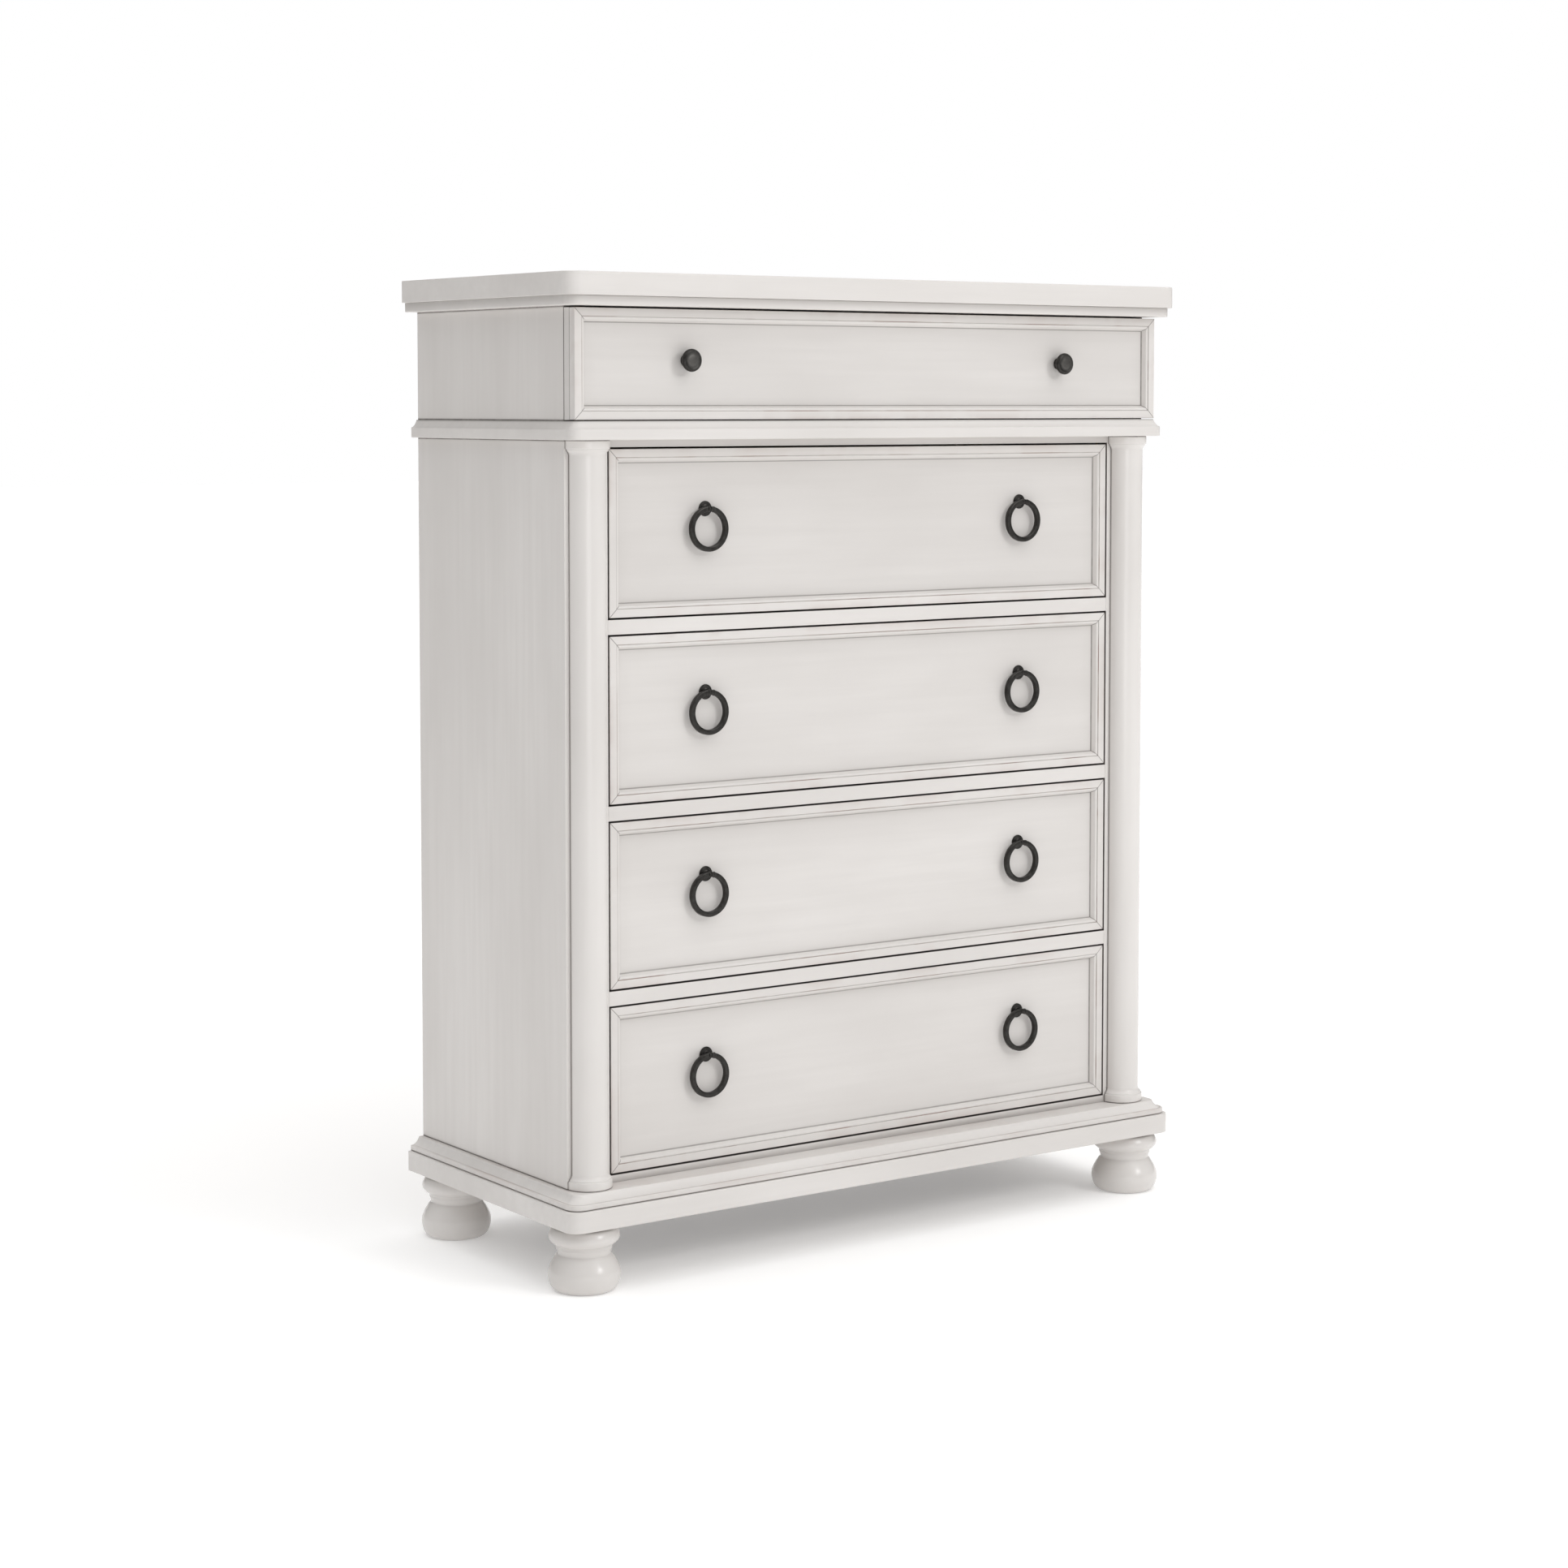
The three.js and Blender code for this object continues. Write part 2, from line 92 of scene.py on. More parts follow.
# ---- Mesh building ----
class Shape:
    """Rows of points joined by quads, each point with its share of dark glaze and painted shade, and of
    worn paint, which on metal is hand polish and a painted highlight.
    """

    def __init__(self):
        self.points = []
        self.glaze_and_shade = []
        self.wear_and_sheen = []
        self.faces = []

    def row(self, points, glaze_and_shade=0.0, wear_and_sheen=0.0):
        """Adds points and returns their numbers; the share of glaze and painted shade and the share of
        wear and sheen are each one value, or one for each point.
        """
        start = len(self.points)
        for index, point in enumerate(points):
            self.points.append(Vector(point))
            self.glaze_and_shade.append(glaze_and_shade[index] if isinstance(glaze_and_shade, (list, tuple)) else glaze_and_shade)
            self.wear_and_sheen.append(wear_and_sheen[index] if isinstance(wear_and_sheen, (list, tuple)) else wear_and_sheen)
        return list(range(start, len(self.points)))

    def bridge(self, first, second, closed=False):
        """Joins two rows of points by quads."""
        count = len(first)
        for i in range(count if closed else count - 1):
            j = (i + 1) % count
            self.faces.append((first[i], first[j], second[j], second[i]))

    def skin(self, rows, closed=False, loop=False):
        """Joins each row to the next; closed rows are rings, and a loop ends where it began."""
        pairs = list(zip(rows, rows[1:]))
        if loop:
            pairs.append((rows[-1], rows[0]))
        for first, second in pairs:
            self.bridge(first, second, closed)

    def cap(self, indices):
        self.faces.append(tuple(indices))

    def move(self, offset):
        for point in self.points:
            point += Vector(offset)

    def turned_to_front(self):
        """What was built up +Z now points towards -Y."""
        for point in self.points:
            point.y, point.z = -point.z, point.y

    def add(self, other):
        """Takes in a copy of another shape."""
        base = len(self.points)
        self.points += [point.copy() for point in other.points]
        self.glaze_and_shade += other.glaze_and_shade
        self.wear_and_sheen += other.wear_and_sheen
        self.faces += [tuple(base + i for i in face) for face in other.faces]


def piece(name, shape, material, body, replaces=(), sharp=32, weighted=True):
    """One finished object from a shape in millimetres, riding on its body."""
    mesh = bpy.data.meshes.new(name)
    mesh.from_pydata([point * MM for point in shape.points], [], shape.faces)
    for label, values in (("glaze_and_shade", shape.glaze_and_shade), ("wear_and_sheen", shape.wear_and_sheen)):
        layer = mesh.attributes.new(label, "FLOAT", "POINT")
        layer.data.foreach_set("value", [float(v) for v in values])
    work = bmesh.new()
    work.from_mesh(mesh)
    bmesh.ops.remove_doubles(work, verts=work.verts, dist=1e-6)
    bmesh.ops.dissolve_degenerate(work, edges=work.edges, dist=1e-7)
    bmesh.ops.recalc_face_normals(work, faces=work.faces)
    work.to_mesh(mesh)
    work.free()
    mesh.polygons.foreach_set("use_smooth", [True] * len(mesh.polygons))
    mesh.set_sharp_from_angle(angle=math.radians(sharp))
    made = bpy.data.objects.new(name, mesh)
    bpy.context.scene.collection.objects.link(made)
    made.data.materials.append(material)
    if weighted:
        shading = made.modifiers.new("even_shading", "WEIGHTED_NORMAL")
        shading.keep_sharp = True
    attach(made, body)
    if replaces:
        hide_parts(*replaces)
    return made


def soft_box(low, high, radius=EDGE_R, steps=2):
    """A board with rounded edges."""
    work = bmesh.new()
    bmesh.ops.create_cube(work, size=1.0)
    size = Vector(high) - Vector(low)
    middle = (Vector(high) + Vector(low)) / 2
    for vertex in work.verts:
        vertex.co = Vector(c * s for c, s in zip(vertex.co, size)) + middle
    bmesh.ops.bevel(
        work,
        geom=work.edges[:],
        offset=radius,
        offset_type="OFFSET",
        segments=steps,
        profile=0.5,
        affect="EDGES",
    )
    shape = Shape()
    work.verts.ensure_lookup_table()
    shape.row([vertex.co.copy() for vertex in work.verts])
    shape.faces = [tuple(vertex.index for vertex in face.verts) for face in work.faces]
    work.free()
    return shape


def shade(shape, rule):
    """Sets the glaze and painted shade, and the wear and sheen, of each point by a rule on its place."""
    for index, point in enumerate(shape.points):
        shape.glaze_and_shade[index], shape.wear_and_sheen[index] = rule(point)
    return shape


def arc(centre, radii, start, end, steps):
    """Points on an ellipse arc, angles in degrees."""
    found = []
    for i in range(steps + 1):
        angle = math.radians(start + (end - start) * i / steps)
        found.append((centre[0] + radii[0] * math.cos(angle), centre[1] + radii[1] * math.sin(angle)))
    return found


def bowed(start, end, sag, steps):
    """Points from start to end on a shallow arc that dips by sag to the right of the way."""
    (x0, z0), (x1, z1) = start, end
    length = math.hypot(x1 - x0, z1 - z0)
    across = ((z1 - z0) / length, -(x1 - x0) / length)
    found = []
    for i in range(steps + 1):
        t = i / steps
        bow = sag * 4 * t * (1 - t)
        found.append((x0 + (x1 - x0) * t + across[0] * bow, z0 + (z1 - z0) * t + across[1] * bow))
    return found


def flowing(points, steps=4):
    """A smooth line through the given points."""
    found = []
    for i in range(len(points) - 1):
        before = points[max(i - 1, 0)]
        after = points[min(i + 2, len(points) - 1)]
        for k in range(steps):
            t = k / steps
            # Shares of the two ends and of the slopes there
            start_share = 2 * t ** 3 - 3 * t ** 2 + 1
            leave_share = t ** 3 - 2 * t ** 2 + t
            end_share = 3 * t ** 2 - 2 * t ** 3
            arrive_share = t ** 3 - t ** 2
            place = []
            for start, end, last, following in zip(points[i], points[i + 1], before, after):
                leave = (end - last) / 2
                arrive = (following - start) / 2
                ends = start_share * start + leave_share * leave
                place.append(ends + end_share * end + arrive_share * arrive)
            found.append(tuple(place))
    return found + [points[-1]]


def turned(profile, segments=48, start=0.0, sweep=360.0):
    """A turned solid about Z from (radius, height, glaze and painted shade, wear and sheen) points."""
    shape = Shape()
    whole = sweep >= 360.0
    count = segments if whole else segments + 1
    rows = []
    for radius, height, glaze_and_shade, wear_and_sheen in profile:
        points = []
        # A row on the axis stays a hair wide, so that every row has its points
        reach = max(radius, 0.01)
        for i in range(count):
            angle = math.radians(start + sweep * i / segments)
            points.append((reach * math.cos(angle), reach * math.sin(angle), height))
        rows.append(shape.row(points, glaze_and_shade, wear_and_sheen))
    shape.skin(rows, closed=whole)
    shape.cap(rows[0])
    shape.cap(rows[-1])
    if not whole:
        shape.cap([row[0] for row in rows] + [row[-1] for row in reversed(rows)])
    return shape


def plain(points, glaze_and_shade=0.0, wear_and_sheen=0.0):
    """Outline points that all have the same glaze and painted shade, and the same wear and sheen."""
    return [(a, b, glaze_and_shade, wear_and_sheen) for a, b in points]


# ---- Materials ----
def new_material(name):
    material = bpy.data.materials.new(name)
    material.use_nodes = True
    return material, material.node_tree, material.node_tree.nodes["Principled BSDF"]


def node(tree, kind, inputs=None, **settings):
    made = tree.nodes.new(kind)
    for key, value in settings.items():
        setattr(made, key, value)
    for key, value in (inputs or {}).items():
        made.inputs[key].default_value = value
    return made


def stretched_noise(tree, scale, detail=3.0, roughness=0.5, seed=0.0):
    """Noise on object coordinates, scaled by its own factor along each axis."""
    place = node(tree, "ShaderNodeTexCoord")
    mapping = node(tree, "ShaderNodeMapping", {"Scale": scale, "Location": (seed, seed * 0.7, seed * 1.3)})
    noise = node(tree, "ShaderNodeTexNoise", {"Scale": 1.0, "Detail": detail, "Roughness": roughness})
    tree.links.new(place.outputs["Object"], mapping.inputs["Vector"])
    tree.links.new(mapping.outputs["Vector"], noise.inputs["Vector"])
    return noise.outputs["Fac"]


def remap(tree, value, low, high, to_low=0.0, to_high=1.0):
    """A value moved from one range into another, and held there."""
    ranged = node(
        tree,
        "ShaderNodeMapRange",
        {"From Min": low, "From Max": high, "To Min": to_low, "To Max": to_high},
    )
    tree.links.new(value, ranged.inputs["Value"])
    return ranged.outputs["Result"]


def math_node(tree, operation, first, second):
    made = node(tree, "ShaderNodeMath", operation=operation)
    made.use_clamp = operation in ("MULTIPLY", "ADD")
    for index, value in enumerate((first, second)):
        if isinstance(value, (int, float)):
            made.inputs[index].default_value = value
        else:
            tree.links.new(value, made.inputs[index])
    return made.outputs["Value"]


def blend_colour(tree, factor, first, second):
    """The first colour at factor 0, the second at factor 1."""
    mix = node(tree, "ShaderNodeMix", data_type="RGBA")
    sockets = [s for s in mix.inputs if s.type == "RGBA"]
    if isinstance(factor, (int, float)):
        mix.inputs["Factor"].default_value = factor
    else:
        tree.links.new(factor, mix.inputs["Factor"])
    for socket, value in zip(sockets, (first, second)):
        if isinstance(value, tuple):
            socket.default_value = (*value, 1.0)
        else:
            tree.links.new(value, socket)
    return next(s for s in mix.outputs if s.type == "RGBA")


def attribute(tree, name):
    """The share of glaze and painted shade, or of wear and painted sheen, that the mesh carries."""
    return node(tree, "ShaderNodeAttribute", attribute_name=name).outputs["Fac"]


def relief(tree, shader, height, strength, distance):
    bump = node(tree, "ShaderNodeBump", {"Strength": strength, "Distance": distance})
    tree.links.new(height, bump.inputs["Height"])
    tree.links.new(bump.outputs["Normal"], shader.inputs["Normal"])


def along(axis, run, across):
    """Scales for a noise drawn out along one axis."""
    return tuple(run if i == axis else across for i in range(3))


PAINT_LIGHT = (0.745, 0.718, 0.695)
PAINT_DARK = (0.680, 0.652, 0.628)
# Dark colour for glaze and for painted shade
GLAZE_AND_SHADE = (0.085, 0.070, 0.060)
WORN = (0.300, 0.150, 0.105)


def paint_material(name, axis, gloss=0.40, tone=1.0, brushed=1.0):
    """Antique-white satin paint, brushed along one axis, with glaze and painted shade in the creases, gaps
    and under overhangs, and worn edges.
    """
    material, tree, shader = new_material(name)
    cloud = stretched_noise(tree, along(axis, 2.2, 7.0), 3.0, 0.55, seed=3.1)
    streak = stretched_noise(tree, along(axis, 4.0, 85.0), 3.0, 0.5, seed=7.7)
    grain = stretched_noise(tree, along(axis, 34.0, 900.0), 2.0, 0.5, seed=1.9)
    cloud_share = remap(tree, cloud, 0.34, 0.70)
    streak_share = remap(tree, streak, 0.35, 0.72, 0.0, 0.40 * brushed)
    light = tuple(c * tone for c in PAINT_LIGHT)
    dark = tuple(c * tone for c in PAINT_DARK)
    base = blend_colour(tree, cloud_share, light, dark)
    base = blend_colour(tree, streak_share, base, tuple(c * 0.975 for c in dark))
    pores = remap(tree, grain, 0.70, 0.80, 0.0, 0.11 * brushed)
    base = blend_colour(tree, pores, base, tuple(c * 0.72 for c in dark))
    patch = stretched_noise(tree, (11.0, 11.0, 11.0), 3.0, 0.6, seed=5.3)
    worn_patch = remap(tree, patch, 0.46, 0.60, 0.06, 1.0)
    worn = math_node(tree, "MULTIPLY", attribute(tree, "wear_and_sheen"), worn_patch)
    base = blend_colour(tree, worn, base, WORN)
    breakup = remap(tree, streak, 0.30, 0.60, 1.0, 0.80)
    # Glaze and painted shade are laid in the same dark colour
    glazed_and_shaded = math_node(tree, "MULTIPLY", attribute(tree, "glaze_and_shade"), breakup)
    base = blend_colour(tree, glazed_and_shaded, base, GLAZE_AND_SHADE)
    tree.links.new(base, shader.inputs["Base Color"])
    rough = remap(tree, streak, 0.30, 0.70, gloss - 0.05 * brushed, gloss + 0.08 * brushed)
    tree.links.new(rough, shader.inputs["Roughness"])
    shader.inputs["Specular IOR Level"].default_value = 0.42
    coarse = math_node(tree, "MULTIPLY", streak, 0.7)
    fine = math_node(tree, "MULTIPLY", grain, 0.3)
    height = math_node(tree, "ADD", coarse, fine)
    relief(tree, shader, height, 0.35 * brushed, 0.00025)
    return material


def wood_material(name, axis, light, dark, rough=0.6):
    """Straight-grained wood with growth rings drawn out along one axis."""
    material, tree, shader = new_material(name)
    rings = stretched_noise(tree, along(axis, 1.4, 60.0), 5.0, 0.65, seed=2.3)
    fibre = stretched_noise(tree, along(axis, 25.0, 700.0), 2.0, 0.5, seed=9.1)
    base = blend_colour(tree, remap(tree, rings, 0.36, 0.66), light, dark)
    pores = remap(tree, fibre, 0.62, 0.78, 0.0, 0.45)
    base = blend_colour(tree, pores, base, tuple(c * 0.5 for c in dark))
    tree.links.new(base, shader.inputs["Base Color"])
    tree.links.new(remap(tree, fibre, 0.3, 0.7, rough - 0.06, rough + 0.1), shader.inputs["Roughness"])
    relief(tree, shader, fibre, 0.4, 0.0003)
    return material


def board_material(name, light, dark):
    """Pressed board: a fine even mottle."""
    material, tree, shader = new_material(name)
    fleck = stretched_noise(tree, (420.0, 420.0, 420.0), 3.0, 0.7, seed=4.2)
    cloud = stretched_noise(tree, (6.0, 6.0, 6.0), 3.0, 0.5, seed=8.8)
    base = blend_colour(tree, remap(tree, fleck, 0.38, 0.64), light, dark)
    base = blend_colour(tree, remap(tree, cloud, 0.35, 0.7, 0.0, 0.35), base, tuple(c * 0.8 for c in dark))
    tree.links.new(base, shader.inputs["Base Color"])
    tree.links.new(remap(tree, fleck, 0.3, 0.7, 0.62, 0.8), shader.inputs["Roughness"])
    relief(tree, shader, fleck, 0.25, 0.0002)
    return material


def metal_material(name, light, dark, rough, metallic):
    """Cast or rolled metal with a mottled finish, brighter where hands have rubbed it and where a
    highlight is painted into its colour.
    """
    material, tree, shader = new_material(name)
    mottle = stretched_noise(tree, (160.0, 160.0, 160.0), 4.0, 0.6, seed=6.4)
    fine = stretched_noise(tree, (900.0, 900.0, 900.0), 2.0, 0.5, seed=0.8)
    base = blend_colour(tree, remap(tree, mottle, 0.35, 0.68), dark, light)
    # The wear share lifts the colour threefold: hand polish, and a painted highlight on the knob faces
    polished_sheen = tuple(3.0 * c for c in light)
    base = blend_colour(tree, attribute(tree, "wear_and_sheen"), base, polished_sheen)
    tree.links.new(base, shader.inputs["Base Color"])
    tree.links.new(remap(tree, mottle, 0.3, 0.7, rough - 0.06, rough + 0.1), shader.inputs["Roughness"])
    shader.inputs["Metallic"].default_value = metallic
    pits = math_node(tree, "MULTIPLY", fine, 0.4)
    relief(tree, shader, math_node(tree, "ADD", mottle, pits), 0.25, 0.0002)
    return material


X, Y, Z = 0, 1, 2
# Each drawer front has a paint of its own, darker the higher the drawer: painted shade, as less light
# reaches the upper fronts
PANEL_SHADE_TONES = {1: 0.940, 2: 0.950, 3: 0.970, 4: 0.980, 5: 0.985}
paint_x = paint_material("paint_grain_x", X)
paint_z = paint_material("paint_grain_z", Z)
shaded_panel_paints = {n: paint_material(f"shaded_paint_panel_{n}", X, tone=t) for n, t in PANEL_SHADE_TONES.items()}
paint_turned = paint_material("paint_turned", Z, gloss=0.22, brushed=0.25)
softwood_z = wood_material("softwood_upright", Z, (0.62, 0.47, 0.30), (0.46, 0.31, 0.17))
DRAWER_WOOD = ((0.60, 0.45, 0.28), (0.46, 0.31, 0.17))
drawer_wood_x = wood_material("drawer_wood_across", X, *DRAWER_WOOD, rough=0.45)
drawer_wood_y = wood_material("drawer_wood_along", Y, *DRAWER_WOOD, rough=0.45)
plywood = wood_material("drawer_bottom_veneer", X, (0.66, 0.53, 0.37), (0.55, 0.41, 0.26), 0.5)
hardboard = board_material("hardboard", (0.27, 0.17, 0.095), (0.19, 0.115, 0.062))
bronze = metal_material("dark_bronze", (0.052, 0.050, 0.047), (0.030, 0.028, 0.026), 0.36, 0.85)
steel = metal_material("zinc_steel", (0.62, 0.62, 0.61), (0.48, 0.48, 0.47), 0.32, 1.0)


# ---- Mouldings that wrap the case ----
def rim(side, front, radius, steps=10, back=BACK):
    """The plan line of a moulding: down the left side, round the front corners, up the right side."""
    half = CASE_HALF + side
    ahead = FRONT - front
    radius = max(radius, 0.3)
    points = [(-half, back)]
    for x_side, start in ((-1, 180.0), (1, 270.0)):
        centre = (x_side * (half - radius), ahead + radius)
        points += arc(centre, (radius, radius), start, start + 90.0, steps)
    points.append((half, back))
    return points


def corner_radius(overhang):
    """Radius of a moulding's front corners."""
    return min(CORNER_R, INNER_CORNER_R + CORNER_GROWTH * overhang)


def moulding_line(overhang):
    return rim(overhang, FRONT_STEP + overhang, corner_radius(overhang))


def wrap(profile):
    """A moulding on the front and both sides, from (overhang, height, glaze and painted shade, wear and
    sheen) points.
    """
    shape = Shape()
    rows = []
    for overhang, height, glaze_and_shade, wear_and_sheen in profile:
        points = [(x, y, height) for x, y in moulding_line(overhang)]
        rows.append(shape.row(points, glaze_and_shade, wear_and_sheen))
    case_line = rim(0, 0, 0.3)
    for height in (profile[-1][1], profile[0][1]):
        rows.append(shape.row([(x, y, height) for x, y in case_line]))
    shape.skin(rows, loop=True)
    for end in (0, -1):
        shape.cap([row[end] for row in rows])
    return shape


def slab(profile, hole=None):
    """A closed board with a moulded edge, from (overhang, height, glaze and painted shade, wear and sheen)
    points.
    """
    shape = Shape()
    rows = []
    for overhang, height, glaze_and_shade, wear_and_sheen in profile:
        points = [(x, y, height) for x, y in moulding_line(overhang)]
        rows.append(shape.row(points, glaze_and_shade, wear_and_sheen))
    if hole:
        inner = rim(hole[0] - CASE_HALF, FRONT + hole[1], 3.0, back=hole[1])
        for height in (profile[-1][1], profile[0][1]):
            rows.append(shape.row([(x, y, height) for x, y in inner]))
        shape.skin(rows, closed=True, loop=True)
    else:
        shape.skin(rows, closed=True)
        shape.cap(rows[0])
        shape.cap(rows[-1])
    return shape


def square_edge(overhang, bottom, top, radius_bottom, radius_top):
    """A square moulding edge with eased corners."""
    low = arc((overhang - radius_bottom, bottom + radius_bottom), (radius_bottom,) * 2, -90, 0, 3)
    high = arc((overhang - radius_top, top - radius_top), (radius_top,) * 2, 0, 90, 3)
    return plain(low + high)


def top_board():
    """A square board with eased edges."""
    bottom, top = BOARD_LOW.z, BOARD_HIGH.z
    shape = slab(square_edge(TOP_OVERHANG, bottom, top, 1.0, 1.6))
    piece("top_board_finish", shape, paint_x, "case", ("top_board",))


def top_moulding():
    """A square moulding under the top board, darker where the two meet."""
    low, high = span("top_moulding")
    overhang = high.x - CASE_HALF
    profile = square_edge(overhang, low.z, high.z - 0.2, 1.2, 0.4)
    # Painted shade: the moulding darkens at its top, in the crease under the board
    profile = [(a, b, 0.35 if b > high.z - 1.2 else 0.0, 0.0) for a, b, _, _ in profile]
    piece("top_moulding_finish", wrap(profile), paint_x, "case", ("top_moulding",))


def waist_moulding():
    """A square band, and a cove that rises from it to the upper case."""
    low, high = span("waist_moulding")
    face = high.x - CASE_HALF
    shoulder = 15.0
    profile = plain(arc((face - 1.0, low.z + 1.0), (1.0, 1.0), -90, 0, 3))
    profile += plain(arc((face - 1.8, low.z + shoulder - 1.8), (1.8, 1.8), 0, 80, 4))
    cove = bowed((face - 2.2, low.z + shoulder), (2.0, high.z), -0.9, 7)
    profile += plain(cove)
    # Painted shade darkens the top of the cove, where it meets the case
    profile[-2] = (*profile[-2][:2], 0.15, 0.0)
    profile[-1] = (*profile[-1][:2], 0.6, 0.0)
    piece("waist_moulding_finish", wrap(profile), paint_x, "case", ("waist_moulding",))


def base_moulding():
    """A low ledge with a cove on it, and a dark line of glaze and painted shade in the joint at its foot.
    """
    low, high = span("base_moulding")
    overhang = high.x - CASE_HALF
    step = 8.0
    foot = [
        (overhang - 1.6, low.z + 0.02, 1.0, 0.0),
        (overhang - 0.7, low.z + 0.3, 1.0, 0.0),
        (overhang - 0.1, low.z + 0.9, 0.9, 0.2),
        (overhang, low.z + 1.6, 0.25, 0.2),
        (overhang, low.z + 2.4, 0.0, 0.0),
    ]
    ledge = arc((overhang - 0.9, low.z + step - 0.9), (0.9, 0.9), 0, 90, 3)
    profile = foot + plain(ledge, 0.0, 0.12)
    # A thin line of glaze and painted shade, with worn paint, where the ledge meets the cove
    profile += plain([(16.5, low.z + step), (16.1, low.z + step + 0.05)], 0.30, 0.35)
    profile += plain(bowed((15.6, low.z + step + 0.25), (6.9, high.z - 0.9), -1.4, 8))
    profile += plain([(6.5, high.z - 0.3), (6.0, high.z)], 0.0, 0.10)
    piece("base_moulding_finish", slab(profile), paint_x, "case", ("base_moulding",))


def base_slab():
    """The square slab on the feet, open in its middle."""
    # Half width and half depth of the opening inside the slab
    hole = (425.0, 119.0)
    shape = slab(square_edge(TOP_OVERHANG, SLAB_LOW.z, SLAB_HIGH.z, 1.2, 1.4), hole)
    piece("base_slab_finish", shape, paint_x, "case", ("base_slab",))


# ---- Feet and columns ----
def foot_profile():
    """Ball, slender neck that widens upwards past a fine step, and a round collar under the slab."""
    # The rim where the foot stands is darkened as painted shade
    profile = [(0.0, 0.0, 0.0, 0.0), (37.2, 0.0, 0.4, 0.0)]
    profile += plain(arc((37.2, 22.4), (12.0, 22.2), -78, 0, 12))
    ball = [(49.2, 22.4), (48.4, 28.0), (45.6, 35.0), (42.2, 41.0), (38.9, 46.0), (37.0, 48.2)]
    profile += plain(flowing(ball))[1:]
    # Faint lines of painted shade sit in the creases of the neck
    profile += [(36.5, 48.8, 0.07, 0.0), (36.2, 49.6, 0.07, 0.0), (36.1, 50.6, 0.0, 0.0)]
    profile += plain([(36.3, 52.0), (37.1, 54.8), (38.0, 56.8), (38.2, 57.3)])
    profile += [(38.15, 57.8, 0.04, 0.0), (38.1, 58.4, 0.0, 0.0), (38.3, 60.3, 0.0, 0.0)]
    profile += [(38.6, 61.2, 0.04, 0.0), (39.0, 61.9, 0.06, 0.0), (39.8, 62.5, 0.0, 0.0)]
    collar = [(39.8, 62.5), (42.4, 64.1), (46.3, 67.8), (48.2, 72.0), (47.6, 77.0), (45.2, 82.0)]
    profile += plain(flowing(collar))[1:]
    # Painted shadow darkens the top of the collar, under the edge of the slab
    profile += [(44.0, 83.8, 0.10, 0.0), (42.8, 85.5, 0.55, 0.0), (41.6, 87.0, 0.85, 0.0)]
    profile += [(40.4, 88.4, 1.0, 0.0), (39.8, 89.0, 1.0, 0.0), (0.0, 89.0, 0.0, 0.0)]
    return profile


def feet():
    """One turned foot at each corner."""
    for x_name, _ in SIDES:
        for y_name in ("front", "rear"):
            name = f"foot_{y_name}_{x_name}"
            low, high = span(name)
            shape = turned(foot_profile(), 64)
            shape.move(((low.x + high.x) / 2, (low.y + high.y) / 2, 0.0))
            piece(f"{name}_turning", shape, paint_turned, "case", (name,), weighted=False)


def column_end(top_radius, base_radius, band):
    """Half profile of a column's base from the bottom up: band, bead line and flare to the shaft."""
    # The band's foot is darkened with glaze and painted shade, and worn, where the column meets the
    # moulding
    profile = [
        (base_radius - 0.9, 0.0, 1.0, 0.2),
        (base_radius - 0.3, 0.35, 1.0, 0.5),
        (base_radius, 1.0, 0.75, 0.4),
        (base_radius, 1.9, 0.0, 0.1),
    ]
    profile += plain(arc((base_radius - 1.0, band - 1.0), (1.0, 1.0), 0, 80, 3))
    profile += [(base_radius - 1.3, band + 0.1, 0.08, 0.0), (base_radius - 1.5, band + 0.4, 0.05, 0.0)]
    profile += plain(arc((base_radius - 2.8, band + 0.3), (1.3, 2.3), 15, 60, 4))
    flare = bowed((base_radius - 2.4, band + 2.6), (top_radius, band + 9.0), -0.7, 6)
    profile += plain(flare)
    return profile


def columns():
    """A half-round column on each front stile, with the same turning at both ends."""
    shaft = 27.0
    for x_name, _ in SIDES:
        name = f"column_{x_name}"
        low, high = span(name)
        centre = (low.x + high.x) / 2
        base_radius = (high.x - low.x) / 2
        height = high.z - low.z
        base = column_end(shaft, base_radius, 12.0)
        capital = [(r, height - z, glaze_and_shade, wear_and_sheen) for r, z, glaze_and_shade, wear_and_sheen in reversed(base)]
        middle = [(shaft, z, 0.0, 0.0) for z in (60.0, 200.0, 400.0, 600.0, 800.0, height - 60.0)]
        profile = [(0.0, 0.0, 0.0, 0.0)] + base + middle + capital + [(0.0, height, 0.0, 0.0)]
        shape = turned(profile, 48, start=180.0, sweep=180.0)
        # Glaze and painted shade fill the joint between the column and its stile
        for index, point in enumerate(shape.points):
            if math.hypot(point.x, point.y) > 20.0:
                joint = max(0.0, min(1.0, (2.8 + point.y) / 1.4))
                shape.glaze_and_shade[index] = max(shape.glaze_and_shade[index], joint)
        shape.move((centre, FRONT, low.z))
        piece(f"{name}_turning", shape, paint_turned, "case", (name,), weighted=False)


